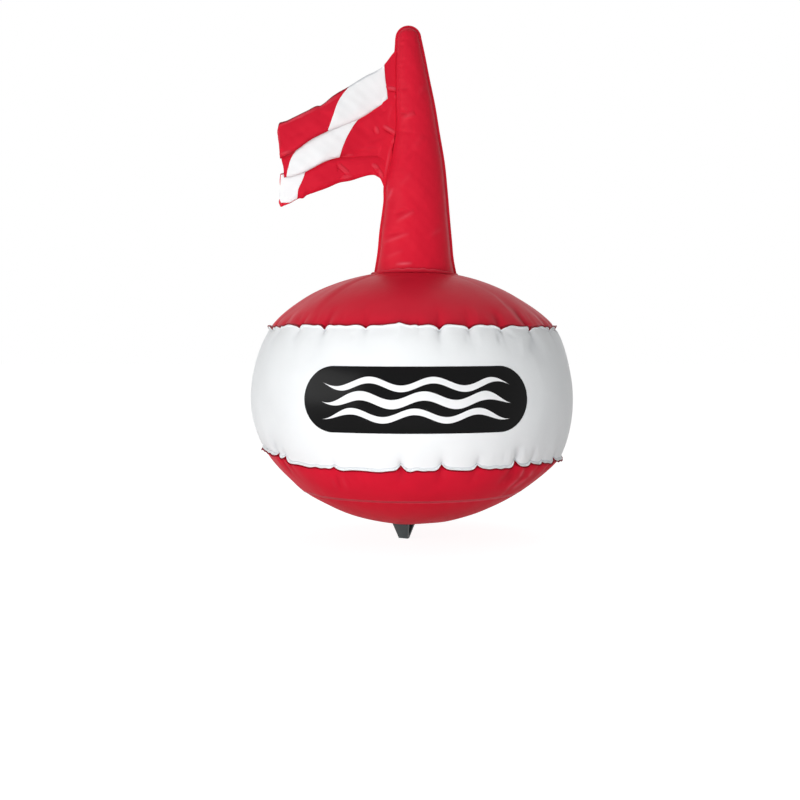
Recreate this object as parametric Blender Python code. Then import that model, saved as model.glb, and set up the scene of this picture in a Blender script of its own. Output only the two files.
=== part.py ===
"""An inflatable dive flag float, modelled piece by piece in metres, +Z up.

The origin is in the eye of the tow lug under the hull, and the label faces -Y.
The film is welded at fins: two layers turned out, lying face to face.
"""

import math

import bmesh
import bpy
from mathutils import Matrix, Vector

# Film, welds and clearances
FILM = 0.0006
GAP = 0.0003
SEAM_FIN = 0.003
OVERRUN = 0.004
MERGE = 0.000001
SMOOTH_ANGLE = math.radians(35)

# Hull, measured from the height of its widest ring
HULL_DIAMETER = 0.330
BELT_CURVE_HEIGHT = 0.157
UPPER_SEAM_HEIGHT = 0.0742
LOWER_SEAM_DEPTH = 0.0612
DOME_HEIGHT = 0.130
RING_SEAM_RADIUS = 0.109
RING_SEAM_DEPTH = 0.0968
BOTTOM_DEPTH = 0.1295
LOWER_DOME_CROWN = 0.0025
DISC_LAP = 0.006
UPPER_FIN_TILT = math.radians(35)
LOWER_FIN_TILT = math.radians(-28)
BOWL_POWER = 2.4
HULL_SIDES = 48
DOME_ROWS = 7
DOME_ROW_POWER = 0.8
BELT_ROWS = 8
LOWER_DOME_ROWS = 5
DISC_ROW_SHARES = (0.86, 0.68, 0.48, 0.25, 0.0)

# Mast, with heights above the widest ring and edges from the hull's axis
MAST_PORT_RADIUS = 0.024
MAST_FOOT_HEIGHT = 0.1285
MAST_TOP_HEIGHT = 0.3836
MAST_TIP_RADIUS = 0.0134
MAST_TIP_OFFSET = -0.0036
MAST_FOOT_WIDTH = 0.0856
MAST_FIN = 0.0025
MAST_DEPTH_SHARE = 0.8
# Each row: height from the foot to the tip's centre, left weld line and right edge from the axis
MAST_ROW_SHARES = (
    (0.0, -0.429, 0.542),
    (0.072, -0.386, 0.503),
    (0.180, -0.356, 0.470),
    (0.258, -0.331, 0.452),
    (0.368, -0.314, 0.423),
    (0.420, -0.292, 0.410),
    (0.500, -0.240, 0.375),
    (0.585, -0.199, 0.338),
    (0.718, -0.194, 0.277),
    (0.821, -0.192, 0.217),
    (0.906, -0.190, 0.175),
    (0.958, -0.186, 0.145),
)
MAST_TIP_ROWS = 4
MAST_COLUMNS = 12
COLLAR_WIDTH = 0.004
COLLAR_HEIGHT = 0.0022
COLLAR_SIDES = 40
COLLAR_PROFILE_SHARES = ((0.0, 0.0), (0.08, 0.75), (0.35, 1.0), (0.7, 0.7), (1.0, 0.1), (1.0, 0.0))

# Flag: the film hinge along its hoist, its fly edge, and its folds
HINGE_TOP_X = -0.0190
HINGE_TOP_HEIGHT = 0.3490
HINGE_BOTTOM_X = -0.0295
HOIST_DROP = 0.1230
FLY_X = -0.1372
FLY_TOP_DROP = 0.0664
FLY_BOTTOM_DROP = 0.0301
TOP_DROP_SHARES = (0.0, 0.26, 0.54, 0.81, 1.0)
BOTTOM_DROP_SHARES = (0.0, 0.01, 0.29, 0.61, 1.0)
HOIST_CREASE_SHARES = (0.30, 0.60)
FLY_CREASE_SHARES = (0.38, 0.68)
FOLD_DEPTH = 0.009
FOLD_POWER = 1.8
FLAG_PUFF = 0.0022
PUFF_POWER = 4
FLAG_COLUMNS = 10
ROWS_PER_FOLD = 5
STRIPE_FILM = 0.0003
STRIPE_INSET = 0.006
STRIPE_EDGES_SHARES = (((0.385, 0.0), (1.0, 0.78)), ((0.0, 0.36), (0.83, 1.0)))

# Label on the belt
LABEL_WIDTH = 0.227
LABEL_HEIGHT = 0.0618
LABEL_RISE = 0.0055
LABEL_TURN = math.radians(1.2)
LABEL_FILM = 0.0003
LABEL_COLUMNS = 24
LABEL_ROWS = 4

# Tow lug: two legs of one thickness that meet in a flat tip, turned about the vertical
LUG_OFFSET = 0.00825
LUG_TURN = math.radians(-30)
LUG_BASE_WIDTH = 0.0185
LUG_TIP_WIDTH = 0.0105
LUG_BASE_DEPTH = 0.017
LUG_TIP_DEPTH = 0.004
LUG_HEIGHT = 0.016
LUG_LEG = 0.0034
LUG_EYE_HEIGHT = 0.0125
LUG_EYE_DEPTH = 0.0034
LUG_EDGE = 0.0005
LUG_FLANGE_RADIUS = 0.016
LUG_FLANGE = 0.0012
LUG_FLANGE_SIDES = 40

# Inflation valve, on the back of the upper dome
VALVE_INSET = 0.0404
VALVE_FLANGE_RADIUS = 0.015
VALVE_FLANGE = 0.0012
STEM_RADIUS = 0.0065
STEM_BORE = 0.0042
STEM_HEIGHT = 0.014
STEM_COLLAR_RADIUS = 0.0085
STEM_COLLAR = 0.0015
STRAP_RING_RADIUS = 0.0086
STRAP_RING_HEIGHT = 0.0022
STRAP_REACH = 0.0105
STRAP_WIDTH = 0.005
STRAP_TAB = 0.0012
PLUG_HEAD_RADIUS = 0.0068
PLUG_HEAD = 0.0016
PLUG_TOP_RADIUS = 0.0039
PLUG_TIP_RADIUS = 0.0024
PLUG_LENGTH = 0.0055
FLAP_RADIUS = 0.0052
FLAP = 0.0006
VALVE_SIDES = 24

# Worked out from the sizes above
HULL_RADIUS = HULL_DIAMETER / 2
HULL_CENTRE = Vector((LUG_OFFSET, 0, LUG_EYE_DEPTH + BOTTOM_DEPTH))
MAST_TIP_HEIGHT = MAST_TOP_HEIGHT - MAST_TIP_RADIUS
MAST_RISE = MAST_TIP_HEIGHT - MAST_FOOT_HEIGHT
HINGE_RADIUS = FILM + GAP / 2
HINGE_BOTTOM_HEIGHT = HINGE_TOP_HEIGHT - HOIST_DROP
HINGE_TOP = HULL_CENTRE + Vector((HINGE_TOP_X, 0, HINGE_TOP_HEIGHT))
HINGE_BOTTOM = HULL_CENTRE + Vector((HINGE_BOTTOM_X, 0, HINGE_BOTTOM_HEIGHT))
VALVE_FLANGE_DROP = VALVE_FLANGE_RADIUS**2 / (2 * DOME_HEIGHT)
FLANGE_TOP_Z = -VALVE_FLANGE_DROP - GAP
STEM_FOOT_Z = FLANGE_TOP_Z - VALVE_FLANGE - GAP - STEM_COLLAR
STRAP_AXIS_Z = STEM_HEIGHT + GAP + PLUG_HEAD / 2

RED = (0.658, 0.014, 0.037)
WHITE = (0.87, 0.88, 0.88)
BLACK = (0.012, 0.012, 0.013)
DARK = (0.02, 0.03, 0.03)
CLEAR_GREY = (0.6, 0.62, 0.62)
FILM_ROUGHNESS = 0.32
PRINT_ROUGHNESS = 0.2
LUG_ROUGHNESS = 0.3
VALVE_ROUGHNESS = 0.4


# Helpers that finish a mesh


def clear_scene():
    for thing in list(bpy.data.objects):
        bpy.data.objects.remove(thing)


def finish_object(name, bm, colour, roughness, origin=None):
    """Make an object of a closed bmesh, with its origin moved to a joint's axis."""
    origin = origin or Vector()
    bmesh.ops.recalc_face_normals(bm, faces=bm.faces)
    bmesh.ops.translate(bm, verts=bm.verts, vec=-origin)
    mesh = bpy.data.meshes.new(name)
    bm.to_mesh(mesh)
    bm.free()
    mesh.shade_smooth()
    mesh.set_sharp_from_angle(angle=SMOOTH_ANGLE)
    material = bpy.data.materials.new(name + "_film")
    material.use_nodes = True
    shader = material.node_tree.nodes["Principled BSDF"]
    shader.inputs["Base Color"].default_value = (*colour, 1)
    shader.inputs["Roughness"].default_value = roughness
    shader.inputs["Metallic"].default_value = 0
    mesh.materials.append(material)
    thing = bpy.data.objects.new(name, mesh)
    thing.location = origin
    bpy.context.collection.objects.link(thing)
    return thing


def combine(target, tool_bm, operation, name):
    """Cut or join with a helper mesh that isn't a part of the float."""
    tool = finish_object(name, tool_bm, DARK, LUG_ROUGHNESS)
    tool.hide_render = True
    tool.display_type = "WIRE"
    step = target.modifiers.new(name, "BOOLEAN")
    step.operation = operation
    step.object = tool
    step.solver = "EXACT"


def thicken(bm, distance):
    """Give a skin a thickness along its normals, and close its rim."""
    bm.normal_update()
    lift = bm.verts.layers.float_vector.new("lift")
    for vert in bm.verts:
        vert[lift] = vert.normal
    made = bmesh.ops.extrude_face_region(bm, geom=bm.faces[:], use_keep_orig=True)
    for item in made["geom"]:
        if isinstance(item, bmesh.types.BMVert):
            item.co += Vector(item[lift]) * distance
    return bm


def skin(columns, rows, place):
    """A sheet of quads whose points come from place(column share, row share)."""
    bm = bmesh.new()
    bmesh.ops.create_grid(bm, x_segments=columns, y_segments=rows, size=1)
    for vert in bm.verts:
        vert.co = place((vert.co.x + 1) / 2, (vert.co.y + 1) / 2)
    bmesh.ops.remove_doubles(bm, verts=bm.verts, dist=MERGE)
    bmesh.ops.dissolve_degenerate(bm, edges=bm.edges, dist=MERGE)
    return bm


def faced(bm, side):
    """Turn a skin's faces so that they look back for side 1 and to the front for side -1."""
    bm.normal_update()
    if sum(face.normal.y * face.calc_area() for face in bm.faces) * side < 0:
        bmesh.ops.reverse_faces(bm, faces=bm.faces)
    return bm


def raised(bm, distance):
    """Move a skin along its own normals."""
    bm.normal_update()
    steps = [vert.normal * distance for vert in bm.verts]
    for vert, step in zip(bm.verts, steps):
        vert.co += step
    return bm


def turned(outline, sides, closed=True, centre=None):
    """Spin an outline of (radius, height) points about a vertical axis."""
    bm = bmesh.new()
    verts = [bm.verts.new((radius, 0, height)) for radius, height in outline]
    edges = [bm.edges.new(pair) for pair in zip(verts, verts[1:])]
    if closed:
        edges.append(bm.edges.new((verts[-1], verts[0])))
    bmesh.ops.spin(
        bm, geom=verts + edges, axis=(0, 0, 1), cent=(0, 0, 0),
        steps=sides, angle=math.tau, use_merge=True,
    )
    bmesh.ops.remove_doubles(bm, verts=bm.verts, dist=MERGE)
    bmesh.ops.translate(bm, verts=bm.verts, vec=centre or Vector())
    return bm


def box(size, centre):
    bm = bmesh.new()
    bmesh.ops.create_cube(bm, size=1)
    bmesh.ops.scale(bm, verts=bm.verts, vec=size)
    bmesh.ops.translate(bm, verts=bm.verts, vec=centre)
    return bm


def rod(radius, depth, centre, sides=VALVE_SIDES, turn=None):
    bm = bmesh.new()
    bmesh.ops.create_cone(
        bm, cap_ends=True, segments=sides, radius1=radius, radius2=radius, depth=depth
    )
    if turn:
        bmesh.ops.rotate(bm, verts=bm.verts, cent=(0, 0, 0), matrix=turn)
    bmesh.ops.translate(bm, verts=bm.verts, vec=centre)
    return bm


def moved(bm, matrix):
    bmesh.ops.transform(bm, matrix=matrix, verts=bm.verts)
    return bm


# Helpers for outlines in the plane of radius and height


def beside(points, distance):
    """The line that runs at a distance to the left of a line, with mitred corners."""
    spots = [Vector(point) for point in points]
    ways = [(b - a).normalized() for a, b in zip(spots, spots[1:])]
    lefts = [Vector((-way.y, way.x)) for way in ways]
    found = []
    for i, spot in enumerate(spots):
        before = lefts[max(i - 1, 0)]
        after = lefts[min(i, len(lefts) - 1)]
        middle = (before + after).normalized()
        found.append(spot + middle * (distance / middle.dot(after)))
    return found


def arc_between(start, end, crown, steps):
    """Points of a shallow arc that stands to the left of the line from start to end."""
    start, end = Vector(start), Vector(end)
    way = end - start
    left = Vector((-way.y, way.x)).normalized()
    shares = [k / steps for k in range(steps + 1)]
    return [start + way * s + left * (crown * 4 * s * (1 - s)) for s in shares]


def share_at(shares, where):
    """Read a table of evenly spaced shares between its points."""
    place = min(max(where, 0), 1) * (len(shares) - 1)
    low = min(int(place), len(shares) - 2)
    return shares[low] + (shares[low + 1] - shares[low]) * (place - low)


def between(start, end, share):
    return start + (end - start) * share


# Hull


def belt_radius(height, wall=0.0):
    """The belt's radius at a height, on its outside or a wall's thickness inside."""
    return (HULL_RADIUS - wall) * math.sqrt(1 - (height / (BELT_CURVE_HEIGHT - wall)) ** 2)


def seam_points(height, tilt, side):
    """The tip and root of one layer of a seam's fin, above it for side 1 and under it for -1."""
    out = Vector((math.cos(tilt), math.sin(tilt)))
    up = Vector((-out.y, out.x))
    root = Vector((belt_radius(height, FILM), height)) + up * (side * GAP / 2)
    return root + out * SEAM_FIN, root


def dome_reach():
    """The radius that the dome's ellipse would have at the widest ring, so that it meets the belt."""
    seam = belt_radius(UPPER_SEAM_HEIGHT)
    return seam / math.sqrt(1 - (UPPER_SEAM_HEIGHT / DOME_HEIGHT) ** 2)


def dome_height(radius, wall=0.0):
    return (DOME_HEIGHT - wall) * math.sqrt(1 - (radius / (dome_reach() - wall)) ** 2)


def bowl_height(radius):
    """The outside of the bottom disc."""
    rise = BOTTOM_DEPTH - RING_SEAM_DEPTH
    return rise * (radius / RING_SEAM_RADIUS) ** BOWL_POWER - BOTTOM_DEPTH


def walled(inside, distance=FILM):
    """A closed outline: a line and the line at a wall's thickness from it."""
    return inside + beside(inside, distance)[::-1]


def make_upper_dome():
    tip, root = seam_points(UPPER_SEAM_HEIGHT, UPPER_FIN_TILT, 1)
    shares = [(k / DOME_ROWS) ** DOME_ROW_POWER for k in range(DOME_ROWS)]
    radii = [between(MAST_PORT_RADIUS, root.x, share) for share in shares]
    inside = [Vector((r, dome_height(r, FILM))) for r in radii] + [root, tip]
    bm = turned(walled(inside), HULL_SIDES, centre=HULL_CENTRE)
    dome = finish_object("upper_dome_panel", bm, RED, FILM_ROUGHNESS)
    hole = rod(STEM_RADIUS + GAP, 2 * OVERRUN + FILM, Vector())
    combine(dome, moved(hole, valve_frame()), "DIFFERENCE", "valve_hole")


def make_belt():
    upper_tip, upper_root = seam_points(UPPER_SEAM_HEIGHT, UPPER_FIN_TILT, -1)
    lower_tip, lower_root = seam_points(-LOWER_SEAM_DEPTH, LOWER_FIN_TILT, 1)
    shares = [k / BELT_ROWS for k in range(1, BELT_ROWS)]
    heights = [between(UPPER_SEAM_HEIGHT, -LOWER_SEAM_DEPTH, share) for share in shares]
    skin_line = [Vector((belt_radius(h, FILM), h)) for h in heights]
    inside = [upper_tip, upper_root] + skin_line + [lower_root, lower_tip]
    bm = turned(walled(inside), HULL_SIDES, centre=HULL_CENTRE)
    finish_object("girth_band_panel", bm, WHITE, FILM_ROUGHNESS)


def make_lower_dome():
    tip, root = seam_points(-LOWER_SEAM_DEPTH, LOWER_FIN_TILT, -1)
    ring = Vector((RING_SEAM_RADIUS, -RING_SEAM_DEPTH)) + disc_outward() * GAP
    inside = [tip] + arc_between(root, ring, LOWER_DOME_CROWN, LOWER_DOME_ROWS)
    bm = turned(walled(inside), HULL_SIDES, centre=HULL_CENTRE)
    finish_object("lower_dome_panel", bm, RED, FILM_ROUGHNESS)


def disc_way():
    """The direction from the ring seam up along the lower dome."""
    root = seam_points(-LOWER_SEAM_DEPTH, LOWER_FIN_TILT, -1)[1]
    return (root - Vector((RING_SEAM_RADIUS, -RING_SEAM_DEPTH))).normalized()


def disc_outward():
    way = disc_way()
    return Vector((way.y, -way.x))


def make_bottom_disc():
    ring = Vector((RING_SEAM_RADIUS, -RING_SEAM_DEPTH))
    radii = [RING_SEAM_RADIUS * share for share in DISC_ROW_SHARES]
    outside = [ring + disc_way() * DISC_LAP, ring]
    outside += [Vector((r, bowl_height(r))) for r in radii]
    inside = beside(outside, -FILM)
    inside[-1].x = 0
    bm = turned(outside[::-1] + inside, HULL_SIDES, closed=False, centre=HULL_CENTRE)
    disc = finish_object("bottom_disc_panel", bm, RED, FILM_ROUGHNESS)
    slot_size = (LUG_BASE_WIDTH + 2 * GAP, LUG_BASE_DEPTH + 2 * GAP, 2 * OVERRUN)
    slot = box(slot_size, Vector((0, 0, LUG_EYE_DEPTH)))
    combine(disc, moved(slot, lug_frame()), "DIFFERENCE", "lug_slot")


# Mast


def mast_rows():
    """Height, left weld line and right edge of each row, from the foot to the tip."""
    rows = []
    for height_share, left_share, right_share in MAST_ROW_SHARES:
        height = MAST_FOOT_HEIGHT + MAST_RISE * height_share
        right = MAST_FOOT_WIDTH * right_share - MAST_FIN
        rows.append((height, MAST_FOOT_WIDTH * left_share, right))
    for k in range(MAST_TIP_ROWS + 1):
        angle = math.pi / 2 * k / MAST_TIP_ROWS
        half = (MAST_TIP_RADIUS - MAST_FIN) * math.cos(angle)
        height = MAST_TIP_HEIGHT + (MAST_TIP_RADIUS - MAST_FIN) * math.sin(angle)
        rows.append((height, MAST_TIP_OFFSET - half, MAST_TIP_OFFSET + half))
    rows.append((MAST_TOP_HEIGHT, MAST_TIP_OFFSET, MAST_TIP_OFFSET))
    return rows


def mast_left_edge(height, weld):
    """The fin's free edge on the left: it reaches out to the flag's hinge beside the flag."""
    climb = (height - HINGE_BOTTOM_HEIGHT) / (HINGE_TOP_HEIGHT - HINGE_BOTTOM_HEIGHT)
    hinge = between(HINGE_BOTTOM_X, HINGE_TOP_X, climb) + HINGE_RADIUS + GAP
    return hinge if 0 <= climb <= 1 else weld - MAST_FIN


def mast_point(across, up, side):
    """A point of the mast's inner skin, on the front for side -1 and on the back for 1."""
    rows = mast_rows()
    row = round(up * (len(rows) - 1))
    height, left, right = rows[row]
    column = round(across * (MAST_COLUMNS + 2))
    tip_share = min(max((height - MAST_TIP_HEIGHT) / (MAST_TIP_RADIUS - MAST_FIN), 0), 1)
    fin = MAST_FIN * math.sqrt(1 - tip_share**2)
    lift = MAST_FIN * tip_share if row < len(rows) - 1 else 0
    if column == 0:
        free = mast_left_edge(height, left) if tip_share == 0 else left - fin
        spot = Vector((free, side * GAP / 2, height + lift))
    elif column == MAST_COLUMNS + 2:
        spot = Vector((right + fin, side * GAP / 2, height + lift))
    else:
        angle = math.pi * (column - 1) / MAST_COLUMNS
        half = (right - left) / 2
        depth = half * MAST_DEPTH_SHARE * math.sin(angle)
        spot = Vector((left + half * (1 - math.cos(angle)), side * (depth + GAP / 2), height))
    if row == 0:
        spot.z = dome_height(spot.xy.length) + GAP
    return HULL_CENTRE + spot


def make_mast():
    for name, side in (("mast_front_panel", -1), ("mast_back_panel", 1)):
        rows = len(mast_rows()) - 1
        bm = skin(MAST_COLUMNS + 2, rows, lambda across, up: mast_point(across, up, side))
        finish_object(name, thicken(faced(bm, side), FILM), RED, FILM_ROUGHNESS)


def make_collar():
    """A raised ring of weld round the mast's foot, lying on the dome."""
    foot = mast_rows()[0]
    left, right = mast_left_edge(foot[0], foot[1]), foot[2] + MAST_FIN
    middle, half = (left + right) / 2, (right - left) / 2
    deep = half * MAST_DEPTH_SHARE

    def place(along, out):
        angle = math.tau * along
        reach, rise = COLLAR_PROFILE_SHARES[round(out * (len(COLLAR_PROFILE_SHARES) - 1))]
        grow = 2 * FILM + GAP + COLLAR_WIDTH * reach
        spot = Vector((middle + (half + grow) * math.cos(angle), (deep + grow) * math.sin(angle), 0))
        spot.z = dome_height(spot.length) + GAP + COLLAR_HEIGHT * rise
        return HULL_CENTRE + spot

    bm = skin(COLLAR_SIDES, len(COLLAR_PROFILE_SHARES) - 1, place)
    rims = [edge for edge in bm.edges if edge.is_boundary]
    bmesh.ops.bridge_loops(bm, edges=rims)
    finish_object("mast_foot_collar", bm, RED, FILM_ROUGHNESS)


# Flag


def fold_edges(across):
    """The shares down the flag where its folds begin and end."""
    creases = zip(HOIST_CREASE_SHARES, FLY_CREASE_SHARES)
    return [0] + [between(hoist, fly, across) for hoist, fly in creases] + [1]


def fold(across, down):
    """How far the flag stands towards the viewer: three folds that deepen towards the fly."""
    edges = fold_edges(across)
    index = sum(down >= edge for edge in edges[1:-1])
    local = (down - edges[index]) / (edges[index + 1] - edges[index])
    return FOLD_DEPTH * across * math.sin(math.pi * min(max(local, 0), 1) ** FOLD_POWER)


def crease_row(across, row):
    """The share down the flag of a row of the grid, so that rows run along the creases."""
    edges = fold_edges(across)
    index = min(row // ROWS_PER_FOLD, len(edges) - 2)
    return between(edges[index], edges[index + 1], row / ROWS_PER_FOLD - index)


def flag_point(across, down, layer=0):
    """A point of the flag: layer -1 is the front skin's inside, 1 the back skin's."""
    top_height = HINGE_TOP_HEIGHT - FLY_TOP_DROP * share_at(TOP_DROP_SHARES, across)
    top = Vector((between(HINGE_TOP_X, FLY_X, across), 0, top_height))
    bottom_height = HINGE_BOTTOM_HEIGHT - FLY_BOTTOM_DROP * share_at(BOTTOM_DROP_SHARES, across)
    bottom = Vector((between(HINGE_BOTTOM_X, FLY_X, across), 0, bottom_height))
    spot = between(top, bottom, down)
    puff = FLAG_PUFF * (1 - (2 * across - 1) ** PUFF_POWER) * (1 - (2 * down - 1) ** PUFF_POWER)
    spot.y = layer * (puff + GAP / 2) - fold(across, down)
    return HULL_CENTRE + spot


def flag_skin(layer):
    """The flag's film on one side, starting at the hinge's round edge."""
    rows = (len(fold_edges(0)) - 1) * ROWS_PER_FOLD

    def place(across, drop):
        return flag_point(across, crease_row(across, round(drop * rows)), layer)

    return faced(skin(FLAG_COLUMNS, rows, place), layer)


def make_flag():
    hinge = (HINGE_TOP + HINGE_BOTTOM) / 2
    for name, layer in (("front", -1), ("back", 1)):
        panel = thicken(flag_skin(layer), FILM)
        finish_object(f"flag_{name}_panel", panel, RED, FILM_ROUGHNESS, hinge)
        stripe = flag_skin(layer)
        inset = Vector((-STRIPE_INSET, 0, 0))
        cuts = [(flag_point(*start), flag_point(*end)) for start, end in STRIPE_EDGES_SHARES]
        cuts.append((HINGE_TOP + inset, HINGE_BOTTOM + inset))
        for (first, second), keep in zip(cuts, (1, -1, -1)):
            way = second - first
            normal = Vector((-way.z, 0, way.x)) * keep
            bmesh.ops.bisect_plane(
                stripe, geom=stripe.verts[:] + stripe.edges[:] + stripe.faces[:], dist=MERGE,
                plane_co=first, plane_no=normal, clear_inner=True,
            )
        band = thicken(raised(stripe, FILM + GAP), STRIPE_FILM)
        finish_object(f"flag_{name}_stripe", band, WHITE, FILM_ROUGHNESS, hinge)


# Label


def make_label():
    """A capsule of film that follows the belt."""
    cap = LABEL_HEIGHT / 2
    straight = LABEL_WIDTH / 2 - cap
    cap_steps = LABEL_COLUMNS // 4

    def place(along, up):
        column = round(along * LABEL_COLUMNS)
        mirror = 1 if 2 * column > LABEL_COLUMNS else -1
        step = abs(column - LABEL_COLUMNS // 2) - (LABEL_COLUMNS // 2 - cap_steps)
        if step > 0:
            angle = math.pi / 2 * step / cap_steps
            arc, half = straight + cap * math.sin(angle), cap * math.cos(angle)
        else:
            arc = straight * abs(2 * column - LABEL_COLUMNS) / (LABEL_COLUMNS - 2 * cap_steps)
            half = cap
        height = LABEL_RISE + half * (2 * up - 1)
        angle = mirror * arc / HULL_RADIUS + LABEL_TURN - math.pi / 2
        reach = belt_radius(height) + GAP
        return HULL_CENTRE + Vector((reach * math.cos(angle), reach * math.sin(angle), height))

    bm = faced(skin(LABEL_COLUMNS, LABEL_ROWS, place), -1)
    finish_object("front_label", thicken(bm, LABEL_FILM), BLACK, PRINT_ROUGHNESS)


# Tow lug


def lug_frame():
    return Matrix.Rotation(LUG_TURN, 4, "Z")


def make_lug():
    middle = LUG_EYE_DEPTH - LUG_HEIGHT / 2
    bm = box((LUG_BASE_WIDTH, LUG_BASE_DEPTH, LUG_HEIGHT), Vector((0, 0, middle)))
    for vert in bm.verts:
        if vert.co.z < middle:
            vert.co.x *= LUG_TIP_WIDTH / LUG_BASE_WIDTH
            vert.co.y *= LUG_TIP_DEPTH / LUG_BASE_DEPTH
    ends = [(edge, edge.verts[0].co.z, edge.verts[1].co.z) for edge in bm.edges]
    rising = [edge for edge, first, second in ends if abs(first - second) > LUG_EDGE]
    bmesh.ops.bevel(bm, geom=rising, offset=LUG_EDGE, segments=2, profile=0.5, affect="EDGES")
    lug = finish_object("tow_lug", moved(bm, lug_frame()), DARK, LUG_ROUGHNESS)

    rim_radius = LUG_OFFSET + LUG_FLANGE_RADIUS
    flange_foot = HULL_CENTRE.z + bowl_height(rim_radius) + FILM + GAP
    neck_height = flange_foot + LUG_FLANGE / 2 - LUG_EYE_DEPTH + LUG_LEG / 2
    neck_middle = LUG_EYE_DEPTH - LUG_LEG / 2 + neck_height / 2
    neck = box(
        (LUG_BASE_WIDTH - 2 * LUG_EDGE, LUG_BASE_DEPTH - 2 * LUG_EDGE, neck_height),
        Vector((0, 0, neck_middle)),
    )
    combine(lug, moved(neck, lug_frame()), "UNION", "lug_neck")
    flange_middle = Vector((0, 0, flange_foot + LUG_FLANGE / 2))
    flange = rod(LUG_FLANGE_RADIUS, LUG_FLANGE, flange_middle, LUG_FLANGE_SIDES)
    combine(lug, flange, "UNION", "lug_flange")

    half_gap = LUG_BASE_DEPTH / 2 - LUG_LEG
    length = LUG_BASE_WIDTH + 2 * OVERRUN
    eye_middle = LUG_EYE_DEPTH - LUG_EYE_HEIGHT / 2
    eye = box((length, 2 * half_gap, LUG_EYE_HEIGHT), Vector((0, 0, eye_middle)))
    for vert in eye.verts:
        if vert.co.z < eye_middle:
            vert.co.y *= LUG_EDGE / half_gap
    combine(lug, moved(eye, lug_frame()), "DIFFERENCE", "lug_eye")


# Valve


def valve_frame():
    """The valve's own axes: its origin on the inside of the dome's film, its Z out of the dome."""
    reach = belt_radius(UPPER_SEAM_HEIGHT) - VALVE_INSET
    height = dome_height(reach, FILM)
    slope = Vector((0, reach / dome_reach() ** 2, height / DOME_HEIGHT**2)).normalized()
    turn = Vector((0, 0, 1)).rotation_difference(slope).to_matrix().to_4x4()
    return Matrix.Translation(HULL_CENTRE + Vector((0, reach, height))) @ turn


def in_valve(x, y, z):
    return valve_frame() @ Vector((x, y, z))


def make_valve_flange():
    bore = STEM_RADIUS + GAP
    foot = FLANGE_TOP_Z - VALVE_FLANGE
    outline = [(bore, foot), (VALVE_FLANGE_RADIUS, foot),
               (VALVE_FLANGE_RADIUS, FLANGE_TOP_Z), (bore, FLANGE_TOP_Z)]
    bm = moved(turned(outline, VALVE_SIDES), valve_frame())
    finish_object("valve_flange", bm, CLEAR_GREY, VALVE_ROUGHNESS)


def make_valve_stem():
    collar_top = STEM_FOOT_Z + STEM_COLLAR
    outline = [(STEM_BORE, STEM_FOOT_Z), (STEM_COLLAR_RADIUS, STEM_FOOT_Z),
               (STEM_COLLAR_RADIUS, collar_top), (STEM_RADIUS, collar_top),
               (STEM_RADIUS, STEM_HEIGHT), (STEM_BORE, STEM_HEIGHT)]
    bm = moved(turned(outline, VALVE_SIDES), valve_frame())
    finish_object("valve_stem", bm, CLEAR_GREY, VALVE_ROUGHNESS, valve_frame().translation)


def make_strap_ring():
    foot = STEM_HEIGHT - STRAP_RING_HEIGHT
    bore = STEM_RADIUS + GAP
    outline = [(bore, foot), (STRAP_RING_RADIUS, foot),
               (STRAP_RING_RADIUS, STEM_HEIGHT), (bore, STEM_HEIGHT)]
    bm = moved(turned(outline, VALVE_SIDES), valve_frame())
    ring = finish_object("plug_strap_ring", bm, CLEAR_GREY, VALVE_ROUGHNESS)
    start = (bore + STRAP_RING_RADIUS) / 2
    end = STRAP_REACH + PLUG_HEAD / 2
    tab = box(
        (end - start, STRAP_WIDTH, STRAP_TAB),
        Vector(((start + end) / 2, 0, STEM_HEIGHT - STRAP_TAB / 2 - GAP)),
    )
    combine(ring, moved(tab, valve_frame()), "UNION", "strap_tab")


def make_plug():
    head_foot = STEM_HEIGHT + GAP
    outline = [(0, head_foot - PLUG_LENGTH), (PLUG_TIP_RADIUS, head_foot - PLUG_LENGTH),
               (PLUG_TOP_RADIUS, head_foot), (PLUG_HEAD_RADIUS, head_foot),
               (PLUG_HEAD_RADIUS, head_foot + PLUG_HEAD), (0, head_foot + PLUG_HEAD)]
    axis = in_valve(STRAP_REACH, 0, STRAP_AXIS_Z)
    bm = moved(turned(outline, VALVE_SIDES, closed=False), valve_frame())
    plug = finish_object("valve_plug", bm, CLEAR_GREY, VALVE_ROUGHNESS, axis)
    start = PLUG_HEAD_RADIUS - PLUG_HEAD
    tongue = box(
        (STRAP_REACH - start, STRAP_WIDTH, PLUG_HEAD),
        Vector(((STRAP_REACH + start) / 2, 0, STRAP_AXIS_Z)),
    )
    combine(plug, moved(tongue, valve_frame()), "UNION", "plug_tongue")
    knuckle = rod(
        PLUG_HEAD / 2, STRAP_WIDTH, Vector((STRAP_REACH, 0, STRAP_AXIS_Z)),
        turn=Matrix.Rotation(math.pi / 2, 3, "X"),
    )
    combine(plug, moved(knuckle, valve_frame()), "UNION", "plug_knuckle")


def make_flap():
    middle = STEM_FOOT_Z - GAP - FLAP / 2
    bm = moved(rod(FLAP_RADIUS, FLAP, Vector((0, 0, middle))), valve_frame())
    axis = in_valve(FLAP_RADIUS, 0, middle)
    finish_object("check_flap", bm, CLEAR_GREY, VALVE_ROUGHNESS, axis)


def main():
    clear_scene()
    make_upper_dome()
    make_belt()
    make_lower_dome()
    make_bottom_disc()
    make_mast()
    make_collar()
    make_flag()
    make_label()
    make_lug()
    make_valve_flange()
    make_valve_stem()
    make_strap_ring()
    make_plug()
    make_flap()


main()
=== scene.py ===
"""The looks of the dive flag float: its films, welds, folds, flag, label, lug and valve.

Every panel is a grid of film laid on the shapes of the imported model, in metres, +Z up.
Places marked as pixels are read in the photograph, 800 pixels wide and high.
"""

import math
import random

import bmesh
import bpy
import numpy as np
from mathutils import Matrix, Vector


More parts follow.
